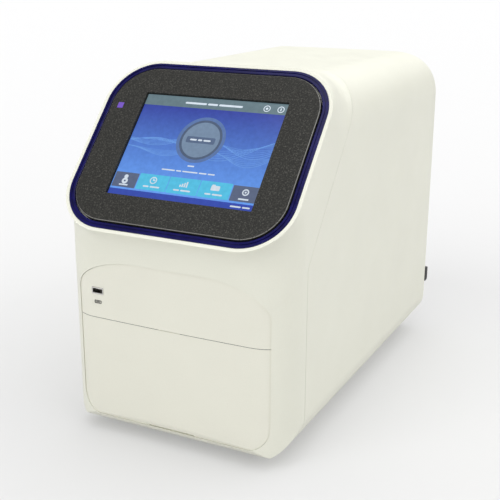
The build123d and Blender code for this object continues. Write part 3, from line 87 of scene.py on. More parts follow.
class Graph:
    """Node tree of one material, with short calls for the nodes that the finishes use."""

    def __init__(self, name: str) -> None:
        """Start a tree with a principled shader and the piece's own coordinates.

        Args:
            name: The material's name.
        """
        self.material = bpy.data.materials.new(name)
        self.material.use_nodes = True
        self.nodes = self.material.node_tree.nodes
        self.links = self.material.node_tree.links
        self.nodes.clear()
        self.output = self.nodes.new("ShaderNodeOutputMaterial")
        self.shader = self.nodes.new("ShaderNodeBsdfPrincipled")
        self.links.new(self.shader.outputs["BSDF"], self.output.inputs["Surface"])
        self.place = self.nodes.new("ShaderNodeTexCoord").outputs["Object"]

    def feed(self, socket: Socket, value: object) -> None:
        """Link a socket into another, or set it to a constant.

        Args:
            socket: The input socket.
            value: An output socket, a number or a colour.
        """
        if isinstance(value, Socket):
            self.links.new(value, socket)
        elif isinstance(value, tuple) and len(value) == 3 and len(socket.default_value) == 4:
            socket.default_value = (*value, 1.0)
        else:
            socket.default_value = value

    def set(self, **inputs: object) -> None:
        """Set or link inputs of the principled shader, named with underscores for spaces."""
        for name, value in inputs.items():
            self.feed(self.shader.inputs[name.replace("_", " ")], value)

    def stretched(self, scale: Triple) -> Socket:
        """Coordinates scaled by different amounts along the three axes.

        Args:
            scale: The three factors.

        Returns:
            The vector socket.
        """
        mapping = self.nodes.new("ShaderNodeMapping")
        self.links.new(self.place, mapping.inputs["Vector"])
        mapping.inputs["Scale"].default_value = scale
        return mapping.outputs["Vector"]

    def noise(self, scale: float, detail: float = 2.0, place: object = None) -> Socket:
        """Soft random pattern.

        Args:
            scale: Features per metre.
            detail: Octaves.
            place: Coordinates, the piece's own where none are given.

        Returns:
            The value socket, about 0.5 on average.
        """
        node = self.nodes.new("ShaderNodeTexNoise")
        self.links.new(place or self.place, node.inputs["Vector"])
        node.inputs["Scale"].default_value = scale
        node.inputs["Detail"].default_value = detail
        return node.outputs["Fac"]

    def cells(self, scale: float, output: str = "Distance") -> Socket:
        """Pattern of random cells.

        Args:
            scale: Cells per metre.
            output: Distance, or Color for one random colour a cell.

        Returns:
            The chosen socket.
        """
        node = self.nodes.new("ShaderNodeTexVoronoi")
        self.links.new(self.place, node.inputs["Vector"])
        node.inputs["Scale"].default_value = scale
        return node.outputs[output]

    def spread(self, value: object, low: float, high: float, start: float, end: float) -> Socket:
        """Value moved from one range to another and kept inside it.

        Args:
            value: The socket to read.
            low: Value that becomes start.
            high: Value that becomes end.
            start: First end of the new range.
            end: Other end of the new range.

        Returns:
            The value socket.
        """
        node = self.nodes.new("ShaderNodeMapRange")
        names = ("Value", "From Min", "From Max", "To Min", "To Max")
        for name, setting in zip(names, (value, low, high, start, end)):
            self.feed(node.inputs[name], setting)
        return node.outputs["Result"]

    def varied(self, scale: float, detail: float, start: float, end: float) -> Socket:
        """Noise of one scale and detail, with its usual range moved to start and end."""
        return self.spread(self.noise(scale, detail), *NOISE_RANGE, start, end)

    def blend(self, share: object, first: object, second: object) -> Socket:
        """Mix of two colours.

        Args:
            share: Part of the second colour, a socket or a number.
            first: Colour or socket.
            second: Colour or socket.

        Returns:
            The colour socket.
        """
        node = self.nodes.new("ShaderNodeMix")
        node.data_type = "RGBA"
        self.feed(node.inputs[0], share)
        self.feed(node.inputs[6], first)
        self.feed(node.inputs[7], second)
        return node.outputs[2]

    def maths(self, kind: str, first: object, second: object) -> Socket:
        """One arithmetic step.

        Args:
            kind: Blender's name of the operation.
            first: First value.
            second: Second value.

        Returns:
            The value socket.
        """
        node = self.nodes.new("ShaderNodeMath")
        node.operation = kind
        self.feed(node.inputs[0], first)
        self.feed(node.inputs[1], second)
        return node.outputs[0]

    def along(self, direction: Triple, place: object = None) -> Socket:
        """Distance of a point along a direction.

        Args:
            direction: Unit vector.
            place: Coordinates, the piece's own where none are given.

        Returns:
            The value socket, in metres.
        """
        node = self.nodes.new("ShaderNodeVectorMath")
        node.operation = "DOT_PRODUCT"
        self.links.new(place or self.place, node.inputs[0])
        node.inputs[1].default_value = direction
        return node.outputs["Value"]

    def bump(self, height: object, depth: float) -> Socket:
        """Normal bent by a height pattern.

        Args:
            height: The pattern.
            depth: Height in metres where the pattern is 1.

        Returns:
            The normal socket.
        """
        node = self.nodes.new("ShaderNodeBump")
        node.inputs["Distance"].default_value = depth
        self.links.new(height, node.inputs["Height"])
        return node.outputs["Normal"]


def shaded(colour: Colour, factor: float) -> Colour:
    """Colour made lighter or darker by a factor."""
    return tuple(min(1.0, value * factor) for value in colour)


@dataclass(frozen=True)
class MouldedPlastic:
    """Injection-moulded plastic: fine grain, faint clouds in the colour and uneven gloss."""

    name: str
    colour: Colour
    roughness: float = 0.46
    grain: float = 1500.0
    grain_depth: float = 0.00003
    mottle: float = 0.035

    def material(self) -> Material:
        """Build the finish: two scales of noise tint the colour, and a third one bends the normal."""
        graph = Graph(self.name)
        clouds = graph.varied(14.0, 3.0, 0.0, 1.0)
        specks = graph.spread(graph.noise(self.grain, 1.0), 0.35, 0.65, 0.0, 0.5)
        tone = graph.maths("MULTIPLY_ADD", clouds, 0.5)
        graph.feed(tone.node.inputs[2], specks)
        dull, bright = shaded(self.colour, 1 - self.mottle), shaded(self.colour, 1 + self.mottle / 3)
        graph.set(
            Base_Color=graph.blend(tone, dull, bright),
            Roughness=graph.varied(45.0, 3.0, self.roughness - 0.05, self.roughness + 0.06),
            Normal=graph.bump(graph.noise(self.grain, 2.0), self.grain_depth),
        )
        return graph.material


@dataclass(frozen=True)
class SpecklePlastic:
    """Spark-textured dark plastic: light and dark specks over a grainy surface."""

    name: str
    colour: Colour
    speck: Colour
    scale: float = 760.0

    def material(self) -> Material:
        """Build the finish: cell and noise thresholds pick the specks, and the same noise is the relief."""
        graph = Graph(self.name)
        grain = graph.noise(self.scale, 3.0)
        specks = graph.spread(grain, 0.44, 0.62, 0.0, 1.0)
        patches = graph.spread(graph.cells(self.scale * 0.6), 0.1, 0.7, 1.0, 0.2)
        share = graph.maths("MULTIPLY", specks, patches)
        graph.set(
            Base_Color=graph.blend(share, self.colour, self.speck),
            Roughness=graph.spread(grain, *NOISE_RANGE, 0.42, 0.62),
            Specular_IOR_Level=0.25,
            Normal=graph.bump(grain, 0.00012),
        )
        return graph.material


@dataclass(frozen=True)
class GlossPlastic:
    """Polished plastic under a clear coat, with faint flow lines."""

    name: str
    colour: Colour
    tint: Colour

    def material(self) -> Material:
        """Build the finish: stretched noise gives flow lines, and fine noise gives hairline scratches."""
        graph = Graph(self.name)
        flow = graph.spread(graph.noise(26.0, 3.0, graph.stretched((1.0, 4.0, 4.0))), 0.35, 0.7, 0.0, 1.0)
        graph.set(
            Base_Color=graph.blend(flow, self.colour, self.tint),
            Roughness=graph.varied(160.0, 4.0, 0.12, 0.24),
            Normal=graph.bump(graph.noise(380.0, 2.0), 0.00001),
            Coat_Weight=0.08,
            Specular_IOR_Level=0.2,
            Coat_Roughness=0.08,
        )
        return graph.material


@dataclass(frozen=True)
class BareMetal:
    """Metal with drawn or milled lines along one axis, cloudy oxide and uneven polish."""

    name: str
    colour: Colour
    roughness: float
    lines: Axis = Axis.Y
    clouding: float = 0.18

    def material(self) -> Material:
        """Build the finish: noise stretched along the drawing direction makes the lines."""
        graph = Graph(self.name)
        lines = graph.noise(60.0, 3.0, graph.stretched(self.lines.value))
        clouds = graph.varied(35.0, 4.0, 0.0, 1.0)
        graph.set(
            Base_Color=graph.blend(clouds, shaded(self.colour, 1 - self.clouding), self.colour),
            Metallic=1.0,
            Roughness=graph.spread(lines, 0.25, 0.75, self.roughness - 0.08, self.roughness + 0.1),
            Normal=graph.bump(lines, 0.00002),
        )
        return graph.material


@dataclass(frozen=True)
class ZincSheet:
    """Zinc-plated sheet with spangles: flat grains of slightly different grey."""

    name: str
    colour: Colour

    def material(self) -> Material:
        """Build the finish: one random tone for each cell, with fine rolling marks."""
        graph = Graph(self.name)
        grains = graph.along((0.33, 0.33, 0.34), graph.cells(170.0, "Color"))
        rolled = graph.noise(90.0, 3.0, graph.stretched(Axis.Y.value))
        graph.set(
            Base_Color=graph.blend(grains, shaded(self.colour, 0.78), shaded(self.colour, 1.08)),
            Metallic=0.9,
            Roughness=graph.spread(grains, 0.0, 1.0, 0.3, 0.5),
            Normal=graph.bump(rolled, 0.000015),
        )
        return graph.material


@dataclass(frozen=True)
class CoatedMetal:
    """Powder-coated or anodised metal: orange-peel relief and dust-grey low spots."""

    name: str
    colour: Colour
    roughness: float
    peel: float = 520.0
    metallic: float = 0.0

    def material(self) -> Material:
        """Build the finish: mid-size noise is the peel, and larger noise varies tone and gloss."""
        graph = Graph(self.name)
        clouds = graph.varied(22.0, 4.0, 0.0, 1.0)
        peel = graph.noise(self.peel, 2.0)
        graph.set(
            Base_Color=graph.blend(clouds, shaded(self.colour, 0.95), shaded(self.colour, 1.03)),
            Metallic=self.metallic,
            Roughness=graph.spread(peel, *NOISE_RANGE, self.roughness - 0.05, self.roughness + 0.07),
            Normal=graph.bump(peel, 0.00005),
        )
        return graph.material


@dataclass(frozen=True)
class Rubber:
    """Soft rubber: dull, slightly pitted and greyed by dust."""

    name: str
    colour: Colour

    def material(self) -> Material:
        """Build the finish: pits from cells, dust from noise."""
        graph = Graph(self.name)
        dust = graph.spread(graph.noise(70.0, 5.0), 0.45, 0.8, 0.0, 0.5)
        graph.set(
            Base_Color=graph.blend(dust, self.colour, (0.14, 0.14, 0.13)),
            Roughness=graph.spread(dust, 0.0, 0.5, 0.68, 0.86),
            Normal=graph.bump(graph.cells(900.0), 0.00006),
        )
        return graph.material


@dataclass(frozen=True)
class PrintedBoard:
    """Green circuit board: copper tracks under solder mask, with tinned pads."""

    name: str
    mask: Colour
    track: Colour

    def material(self) -> Material:
        """Build the finish: bands of two wave patterns are the tracks, and small cells the pads."""
        graph = Graph(self.name)
        waves = graph.nodes.new("ShaderNodeTexWave")
        graph.links.new(graph.place, waves.inputs["Vector"])
        waves.inputs["Scale"].default_value = 110.0
        waves.inputs["Distortion"].default_value = 3.0
        tracks = graph.spread(waves.outputs["Fac"], 0.55, 0.65, 0.0, 1.0)
        pads = graph.spread(graph.cells(240.0), 0.16, 0.2, 1.0, 0.0)
        green = graph.blend(tracks, self.mask, self.track)
        graph.set(
            Base_Color=graph.blend(pads, green, (0.62, 0.6, 0.52)),
            Metallic=pads,
            Roughness=graph.varied(60.0, 3.0, 0.28, 0.4),
            Normal=graph.bump(tracks, 0.00003),
        )
        return graph.material


@dataclass(frozen=True)
class Glass:
    """Optical or cover glass with a coating tint and faint smears."""

    name: str
    colour: Colour
    clear: float = 1.0

    def material(self) -> Material:
        """Build the finish: smears vary the roughness, and the tint varies slightly with them."""
        graph = Graph(self.name)
        smears = graph.spread(graph.noise(60.0, 5.0), 0.4, 0.75, 0.0, 1.0)
        graph.set(
            Base_Color=graph.blend(smears, self.colour, shaded(self.colour, 0.93)),
            Roughness=graph.spread(smears, 0.0, 1.0, 0.01, 0.07),
            Transmission_Weight=self.clear,
            IOR=1.5,
        )
        return graph.material


@dataclass(frozen=True)
class LitSurface:
    """Patch of the lit picture behind the touch glass, or a lit light guide."""

    name: str
    colour: Colour
    edge: Colour
    axis: Triple = (0.0, 0.677, 0.735)
    start: float = 0.0
    end: float = 1.0

    def material(self) -> Material:
        """Build the finish: colour runs along the axis from end to end, with a fine backlight grain."""
        graph = Graph(self.name)
        run = graph.spread(graph.along(self.axis), self.start, self.end, 0.0, 1.0)
        grain = graph.varied(220.0, 2.0, 0.0, 0.12)
        colour = graph.blend(grain, graph.blend(run, self.colour, self.edge), (0.0, 0.0, 0.0))
        graph.set(
            Base_Color=(0.004, 0.005, 0.008),
            Roughness=graph.varied(30.0, 4.0, 0.1, 0.18),
            Specular_IOR_Level=0.25,
            Emission_Color=colour,
            Emission_Strength=1.0,
        )
        return graph.material


BODY_WHITE = screen_colour(235, 235, 221)
FINISHES: dict[str, object] = {
    "body_plastic": MouldedPlastic("body_plastic_finish", BODY_WHITE),
    "drawer_plastic": MouldedPlastic(
        "drawer_plastic_finish", screen_colour(236, 235, 221), grain_depth=0.00004,
    ),
    "deck_plastic": MouldedPlastic("deck_plastic_finish", (0.5, 0.51, 0.5), roughness=0.5),
    "bezel": SpecklePlastic("bezel_finish", screen_colour(30, 30, 27), screen_colour(78, 77, 72)),
    "accent": GlossPlastic("accent_finish", screen_colour(9, 7, 66), screen_colour(16, 13, 86)),
    "screen_glass": Glass("screen_glass_finish", (0.9, 0.93, 0.95)),
    "display": CoatedMetal("display_frame_finish", (0.1, 0.1, 0.11), 0.35, metallic=0.6),
    "light": LitSurface(
        "status_light_finish", screen_colour(124, 90, 200), screen_colour(172, 134, 235),
        start=0.19, end=0.26,
    ),
    "sheet_metal": ZincSheet("zinc_sheet_finish", (0.66, 0.67, 0.68)),
    "panel_metal": CoatedMetal("rear_panel_finish", screen_colour(226, 226, 216), 0.5),
    "rail_steel": BareMetal("rail_steel_finish", (0.7, 0.71, 0.72), 0.3),
    "shaft_steel": BareMetal("shaft_steel_finish", (0.76, 0.76, 0.77), 0.2, Axis.X, 0.08),
    "aluminium": BareMetal("aluminium_finish", (0.8, 0.81, 0.82), 0.36),
    "block_metal": BareMetal("block_metal_finish", (0.85, 0.85, 0.83), 0.28, Axis.X, 0.1),
    "lamp_metal": CoatedMetal("lamp_metal_finish", (0.2, 0.2, 0.22), 0.38, 900.0, 0.8),
    "black_metal": CoatedMetal("black_metal_finish", (0.035, 0.035, 0.04), 0.42, 900.0, 0.5),
    "motor_metal": BareMetal("motor_metal_finish", (0.16, 0.16, 0.17), 0.4, Axis.X, 0.35),
    "board": PrintedBoard("board_finish", (0.012, 0.13, 0.06), (0.03, 0.22, 0.1)),
    "ceramic": MouldedPlastic("ceramic_finish", (0.86, 0.86, 0.83), roughness=0.3, grain=2500.0),
    "nut_plastic": MouldedPlastic("nut_plastic_finish", (0.83, 0.81, 0.7), roughness=0.35),
    "fan_plastic": MouldedPlastic("fan_plastic_finish", (0.03, 0.03, 0.033), roughness=0.4, mottle=0.2),
    "guard_wire": BareMetal("guard_wire_finish", (0.78, 0.78, 0.79), 0.18, Axis.Z, 0.1),
    "socket_metal": BareMetal("socket_metal_finish", (0.7, 0.69, 0.66), 0.26, Axis.Y, 0.12),
    "socket_plastic": MouldedPlastic(
        "socket_plastic_finish", (0.022, 0.022, 0.025), roughness=0.42, mottle=0.25,
    ),
    "optics_glass": Glass("optics_glass_finish", (0.86, 0.93, 0.97)),
    "filter_glass": Glass("filter_glass_finish", (0.32, 0.62, 0.4), 0.8),
    "mirror": BareMetal("mirror_finish", (0.94, 0.94, 0.95), 0.09, Axis.X, 0.02),
    "rubber": Rubber("rubber_finish", (0.028, 0.028, 0.03)),
}


@dataclass(frozen=True)
class Placement:
    """Local directions of a piece: across, up and out of the surface that it lies on."""

    origin: np.ndarray
    across: np.ndarray
    up: np.ndarray
    out: np.ndarray

    def world(self, points: np.ndarray) -> np.ndarray:
        """Local points in the shared frame: the origin plus each coordinate times its direction."""
        return self.origin + points @ np.stack([self.across, self.up, self.out])

    def moved(self, across: float, up: float, out: float = 0.0) -> "Placement":
        """The same directions from another origin."""
        shift = self.across * across + self.up * up + self.out * out
        return Placement(self.origin + shift, self.across, self.up, self.out)


def facing(origin: Triple, out: Triple) -> Placement:
    """Placement on a wall or floor that looks along one direction.

    Args:
        origin: A point of the wall, in metres.
        out: Direction away from the wall.

    Returns:
        The placement, with up as near to +Z as the wall allows.
    """
    normal = np.array(out, float)
    upright = np.array((0.0, 0.0, 1.0)) if abs(normal[2]) < 0.9 else np.array((0.0, 1.0, 0.0))
    across = np.cross(upright, normal)
    across /= np.linalg.norm(across)
    return Placement(np.array(origin, float), across, np.cross(normal, across), normal)


def rounded_outline(width: float, height: float, radius: float, steps: int = 8) -> np.ndarray:
    """Closed rounded rectangle, as points on four quarter circles round the corner centres.

    Args:
        width: Size across.
        height: Size up.
        radius: Corner radius.
        steps: Steps for each quarter.

    Returns:
        Array of points, the first repeated at the end.
    """
    radius = min(radius, width / 2, height / 2)
    quarter = np.linspace(0.0, math.pi / 2, steps + 1)
    turns = (quarter[None, :] + np.arange(4)[:, None] * math.pi / 2).ravel()
    side_x = np.repeat([1.0, -1.0, -1.0, 1.0], steps + 1)
    side_y = np.repeat([1.0, 1.0, -1.0, -1.0], steps + 1)
    outline = np.stack([
        side_x * (width / 2 - radius) + radius * np.cos(turns),
        side_y * (height / 2 - radius) + radius * np.sin(turns),
    ], axis=1)
    return np.vstack([outline, outline[:1]])


def raised_plate(outline: np.ndarray, low: float, high: float, edge: float = 0.0) -> np.ndarray:
    """Closed plate over an outline: rows run from the bottom's middle round the rim to the top's middle.

    Args:
        outline: Closed outline.
        low: Height of the bottom.
        high: Height of the top.
        edge: Width and depth of the chamfer on the top rim.

    Returns:
        Grid of local points.
    """
    middle = outline[:-1].mean(axis=0)
    reach = np.abs(outline - middle).max()
    shrink = 1 - edge / reach
    rows = [(0.0, low), (1.0, low), (1.0, high - edge), (shrink, high), (0.0, high)]
    shares, levels = np.array(rows).T[:, :, None, None]
    flat = middle + (outline - middle)[None, :, :] * shares
    heights = np.broadcast_to(levels, (len(rows), len(outline), 1))
    return np.concatenate([flat, heights], axis=2)


def band(outer: np.ndarray, inner: np.ndarray, low: float, high: float) -> np.ndarray:
    """Closed band between two outlines: rows run round its four faces and back to the first.

    Args:
        outer: Outer closed outline.
        inner: Inner closed outline with as many points.
        low: Height of the bottom.
        high: Height of the top.

    Returns:
        Grid of local points.
    """
    rows = [(inner, low), (outer, low), (outer, high), (inner, high), (inner, low)]
    return np.stack([np.column_stack([line, np.full(len(line), level)]) for line, level in rows])


def ribbon(path: np.ndarray, half: float, low: float, high: float) -> np.ndarray:
    """Thin strip along a path: a flat rectangle square to the path at every point, closed at both ends.

    Args:
        path: Points of the path.
        half: Half width of the strip.
        low: Height of the bottom.
        high: Height of the top.

    Returns:
        Grid of local points.
    """
    run = np.gradient(path, axis=0)
    run /= np.linalg.norm(run, axis=1)[:, None]
    side = np.column_stack([-run[:, 1], run[:, 0]]) * half
    corners = [(-side, low), (side, low), (side, high), (-side, high), (-side, low)]
    edges = [np.column_stack([path + shift, np.full(len(path), level)]) for shift, level in corners]
    tube = np.stack(edges, axis=1)
    ends = [np.repeat(tube[row].mean(axis=0)[None, None, :], 5, axis=1) for row in (0, -1)]
    return np.concatenate([ends[0], tube, ends[1]], axis=0)


def added(name: str, data: bpy.types.ID) -> bpy.types.Object:
    """New object in the scene.

    Args:
        name: Its name.
        data: Its mesh, camera or lamp.

    Returns:
        The object.
    """
    thing = bpy.data.objects.new(name, data)
    bpy.context.scene.collection.objects.link(thing)
    return thing


def piece_from_grids(
    name: str, grids: list[np.ndarray], finish: Material, body: str,
    replaced: tuple[str, ...] = (), crease: float = 35.0,
) -> bpy.types.Object:
    """Mesh object from grids of points, welded and facing outwards, riding on a body.

    Each grid is a surface of two parameters, rows and columns, and each cell of it is two triangles.

    Args:
        name: Name of the piece.
        grids: Grids of points in the shared frame.
        finish: Its material.
        body: Body that it rides on.
        replaced: CAD nodes that it stands for.
        crease: Angle in degrees above which an edge stays sharp.

    Returns:
        The object.
    """
    points, corners, start = [], [], 0
    for grid in grids:
        rows, columns = grid.shape[:2]
        index = start + np.arange(rows * columns).reshape(rows, columns)
        a, b, c, d = index[:-1, :-1], index[:-1, 1:], index[1:, 1:], index[1:, :-1]
        corners.append(np.stack([np.stack([a, b, c], -1), np.stack([a, c, d], -1)], 2).reshape(-1, 3))
        points.append(grid.reshape(-1, 3))
        start += rows * columns
    points, corners = np.vstack(points), np.vstack(corners)
    welded = np.round(points / WELD).astype(np.int64)
    _, first, merged = np.unique(welded, axis=0, return_index=True, return_inverse=True)
    points, corners = points[first], merged.reshape(-1)[corners]
    corners = corners[(corners != np.roll(corners, 1, axis=1)).all(axis=1)]
    first_point, second_point, third_point = (points[corners[:, k]] - points.mean(axis=0) for k in range(3))
    if np.einsum("ij,ij->i", first_point, np.cross(second_point, third_point)).sum() < 0:
        corners = corners[:, ::-1]
    mesh = bpy.data.meshes.new(name)
    mesh.from_pydata(points.tolist(), [], corners.tolist())
    mesh.polygons.foreach_set("use_smooth", np.ones(len(corners), bool))
    mesh.set_sharp_from_angle(angle=math.radians(crease))
    mesh.materials.append(finish)
    piece = added(name, mesh)
    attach(piece, body)
    if replaced:
        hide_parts(*replaced)
    LOG.info("%s: %d triangles on %s", name, len(corners), body)
    return piece


class Dresser:
    """Gives every CAD node the finish of its material slot."""

    def __init__(self) -> None:
        """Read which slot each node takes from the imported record, and start with no material built."""
        self.slots = {row["node"]: row["material_slot"] for row in frame["record"]["subparts"]}
        self.built: dict[str, Material] = {}

    def finish(self, slot: str) -> Material:
        """Material of a slot, built on first use.

        Args:
            slot: Name of the slot.

        Returns:
            The material.
        """
        if slot not in self.built:
            self.built[slot] = FINISHES[slot].material()
        return self.built[slot]

    def dress(self) -> None:
        """Put each node's finish in all of its material slots."""
        for name, node in frame["nodes"].items():
            finish = self.finish(self.slots[name])
            if not node.material_slots:
                node.data.materials.append(finish)
            for slot in node.material_slots:
                slot.material = finish
            LOG.info("%s: dressed as %s", name, self.slots[name])


@dataclass
class Display:
    """Touch glass and the lit picture under it, in millimetres from the middle of the tilted screen."""

    tilt: float = 42.65
    front: float = -0.255
    lip_bottom: float = 0.240
    lip_height: float = 0.218
    shift: float = 1.9
    width: float = 170.4
    height: float = 127.8
    glass_border: float = 5.0
    glass_corner: float = 1.5
    glass_edge: float = 0.2
    glass_low: float = -2.2
    glass_high: float = -1.0
    layer: float = 0.035
    header_line: float = 50.5
    button_x: float = 1.6
    button_y: float = 12.0
    button_radius: float = 25.0
    tile_top: float = -35.0
    tile_bottom: float = -54.0
    tile_left: float = -53.0
    tile_right: float = 57.2
    footer_top: float = -56.2
    wave_groups: tuple[tuple[float, ...], ...] = (
        (2.0, 17.0, 1.1, 0.4), (6.0, 12.0, 1.4, 3.4), (-6.0, 10.0, 1.7, 1.9),
    )
    wave_lines: int = 5
    wave_spacing: float = 0.7
    wave_fade: float = 0.16
    wave_lag: float = 0.09
    wave_half: float = 0.32
    wave_taper: float = 0.04
    tile_gap: float = 0.35
    side_gap: float = 0.8
    word_gap: float = 1.5
    bezel_width: float = 247.0
    bezel_height: float = 193.0
    bezel_radius: float = 44.5
    bezel_top: float = 2.0
    bezel_chamfer: float = 1.0
    highlight_lift: float = 0.04

    def plane(self) -> Placement:
        """Placement on the lip's front plane: up leans back by the tilt, and out faces the user."""
        lean = math.radians(self.tilt)
        up = np.array((0.0, math.sin(lean), math.cos(lean)))
        out = np.array((0.0, -math.cos(lean), math.sin(lean)))
        origin = np.array((0.0, self.front, self.lip_bottom)) + up * self.lip_height / 2
        return Placement(origin, np.array((1.0, 0.0, 0.0)), up, out)

    def level(self, share: float) -> float:
        """Distance along the up direction of a point at a share of the picture's half height."""
        return float(self.plane().origin @ self.plane().up) + share * (self.height / 2 * MM)

    def patch(self, name: str, shapes: list[np.ndarray], level: int, finish: Material) -> None:
        """One kind of picture element, as thin closed plates on one layer.

        Args:
            name: Name of the piece.
            shapes: Local grids in millimetres, their heights counted from the layer.
            level: Number of the layer over the glass.
            finish: Its material.
        """
        place = self.plane().moved(0.0, 0.0, (self.glass_high + level * self.layer) * MM)
        grids = [place.world(shape * MM) for shape in shapes]
        piece_from_grids(name, grids, finish, "chassis", crease=30.0)

    def block(self, left: float, right: float, low: float, high: float, radius: float = 0.8) -> np.ndarray:
        """Rounded plate between its left, right, lower and upper limits, as a local grid."""
        outline = rounded_outline(right - left, high - low, radius, 5)
        return raised_plate(outline + ((left + right) / 2, (low + high) / 2), 0.0, self.layer)

    def words(self, left: float, lengths: tuple[float, ...], low: float, height: float) -> list[np.ndarray]:
        """Row of bars with gaps, in place of a line of words.

        Args:
            left: Left end of the row.
            lengths: Length of each bar.
            low: Lower limit.
            height: Height of the bars.

        Returns:
            Local grids.
        """
        starts = left + np.concatenate([[0.0], np.cumsum(np.array(lengths) + self.word_gap)[:-1]])
        return [
            self.block(start, start + length, low, low + height, height / 2)
            for start, length in zip(starts, lengths)
        ]

    def disc(self, x: float, y: float, radius: float, inner: float = 0.0, steps: int = 12) -> np.ndarray:
        """Disc, or ring where it has an inner radius.

        Args:
            x: Middle across.
            y: Middle up.
            radius: Outer radius.
            inner: Inner radius.
            steps: Steps for each quarter.

        Returns:
            Local grid.
        """
        outer = rounded_outline(2 * radius, 2 * radius, radius, steps) + (x, y)
        if inner <= 0:
            return raised_plate(outer, 0.0, self.layer)
        return band(outer, rounded_outline(2 * inner, 2 * inner, inner, steps) + (x, y), 0.0, self.layer)

    def wave(self, rise: float, swing: float, turns: float, phase: float, half: float) -> np.ndarray:
        """Ribbon along a sine curve across the picture, its swing growing to the right.

        Args:
            rise: Mean height.
            swing: Height of the curve at the right end.
            turns: Whole waves across the picture.
            phase: Phase in radians.
            half: Half width of the ribbon.

        Returns:
            Local grid.
        """
        share = np.linspace(0.0, 1.0, 90)
        across = self.shift + (share - 0.5) * (self.width - 2.0)
        up = rise + swing * (0.35 + 0.65 * share) * np.sin(2 * math.pi * turns * share + phase)
        return ribbon(np.column_stack([across, up]), half, 0.0, self.layer)

    def build(self) -> None:
        """Make the glass, the picture and its controls."""
        left, right = self.shift - self.width / 2, self.shift + self.width / 2
        low, high = -self.height / 2, self.height / 2
        border = 2 * self.glass_border
        outline = rounded_outline(self.width + border, self.height + border, self.glass_corner)
        glass = raised_plate(outline + (self.shift, 0.0), self.glass_low, self.glass_high, self.glass_edge)
        border_black, border_tint = (0.006, 0.007, 0.01), (0.01, 0.011, 0.015)
        black_glass = GlossPlastic("glass_border_finish", border_black, border_tint).material()
        piece_from_grids(
            "touch_glass_plate", [self.plane().world(glass * MM)], black_glass, "chassis",
            ("touch_glass",),
        )
        backdrop = LitSurface(
            "picture_finish", screen_colour(104, 160, 244), screen_colour(52, 62, 158),
            start=self.level(-0.8), end=self.level(0.85),
        ).material()
        self.patch("picture_backdrop", [self.block(left, right, low, high, 0.3)], 0, backdrop)
        self.controls(left, right, low, high)
        # Light grey strip on the bezel's chamfer: a painted highlight.
        self.painted_bezel_highlight()

    def painted_bezel_highlight(self) -> None:
        """Light grey strip along the bezel's chamfer, a slanted band just above its slope: a painted
        highlight of the chamfer's edge.
        """
        rows = []
        for share, lift in ((0.2, 1.0), (0.8, 1.0), (0.8, -2.0), (0.2, -2.0), (0.2, 1.0)):
            inset = share * self.bezel_chamfer
            level = self.bezel_top - self.bezel_chamfer + inset + lift * self.highlight_lift
            line = rounded_outline(
                self.bezel_width - 2 * inset, self.bezel_height - 2 * inset, self.bezel_radius - inset, 16,
            )
            rows.append(np.column_stack([line, np.full(len(line), level)]))
        finish = MouldedPlastic("painted_bezel_highlight_finish", screen_colour(134, 133, 128), roughness=0.3).material()
        grid = self.plane().world(np.stack(rows) * MM)
        piece_from_grids("painted_bezel_highlight_strip", [grid], finish, "chassis", crease=30.0)

    def lit(self, name: str, tone: Colour, fade: float = 0.86) -> Material:
        """Lit finish of one screen colour, a little darker towards its lower end.

        Args:
            name: Name of the finish.
            tone: Red, green and blue, 0 to 255.
            fade: Brightness at the lower end of the picture.

        Returns:
            The material.
        """
        colour = screen_colour(*tone)
        low, high = self.level(-1.0), self.level(1.0)
        return LitSurface(name, shaded(colour, fade), colour, start=low, end=high).material()

    def controls(self, left: float, right: float, low: float, high: float) -> None:
        """Bars, tiles, button and icons: plain generic shapes, with no lettering.

        Args:
            left: Left edge of the picture.
            right: Right edge.
            low: Lower edge.
            high: Upper edge.
        """
        white = self.lit("icon_finish", (226, 238, 250))
        waves = [
            self.wave(rise + self.wave_spacing * k, swing * (1 - self.wave_fade * k), turns,
                      phase + self.wave_lag * k, self.wave_half - self.wave_taper * k)
            for rise, swing, turns, phase in self.wave_groups for k in range(self.wave_lines)
        ]
        self.patch("picture_waves", waves, 1, self.lit("wave_finish", (112, 162, 236)))
        self.patch(
            "header_band", [self.block(left, right, self.header_line, high, 0.3)], 2,
            self.lit("header_finish", (106, 128, 136), 0.7),
        )
        footer = [self.block(left, right, low, self.footer_top, 0.3)]
        self.patch("footer_band", footer, 2, self.lit("footer_finish", (58, 82, 186)))
        pitch = (self.tile_right - self.tile_left) / 3
        tiles = [
            self.block(self.tile_left + pitch * k + self.tile_gap,
                       self.tile_left + pitch * (k + 1) - self.tile_gap,
                       self.tile_bottom, self.tile_top) for k in range(3)
        ]
        self.patch("tiles", tiles, 2, self.lit("tile_finish", (88, 198, 234), 0.95))
        sides = [
            self.block(start + self.side_gap, end - self.side_gap, self.tile_bottom, self.tile_top - 1.0)
            for start, end in ((left, self.tile_left), (self.tile_right, right))
        ]
        self.patch("side_blocks", sides, 2, self.lit("side_block_finish", (98, 110, 138)))
        x, y, radius = self.button_x, self.button_y, self.button_radius
        halo, face = self.lit("halo_finish", (96, 124, 176)), self.lit("button_finish", (124, 146, 172))
        self.patch("button_halo", [self.disc(x, y, radius + 3.2, radius - 1.0)], 2, halo)
        self.patch("button_face", [self.disc(x, y, radius - 0.8)], 2, face)
        rim = self.disc(x, y, radius - 0.6, radius - 3.4)
        self.patch("button_rim", [rim], 3, self.lit("rim_finish", (84, 100, 126)))
        self.patch(
            "button_label", [self.block(x - 17.0, x + 17.0, y - 4.4, y + 3.4, 1.6)], 3,
            self.lit("label_finish", (92, 110, 140)),
        )
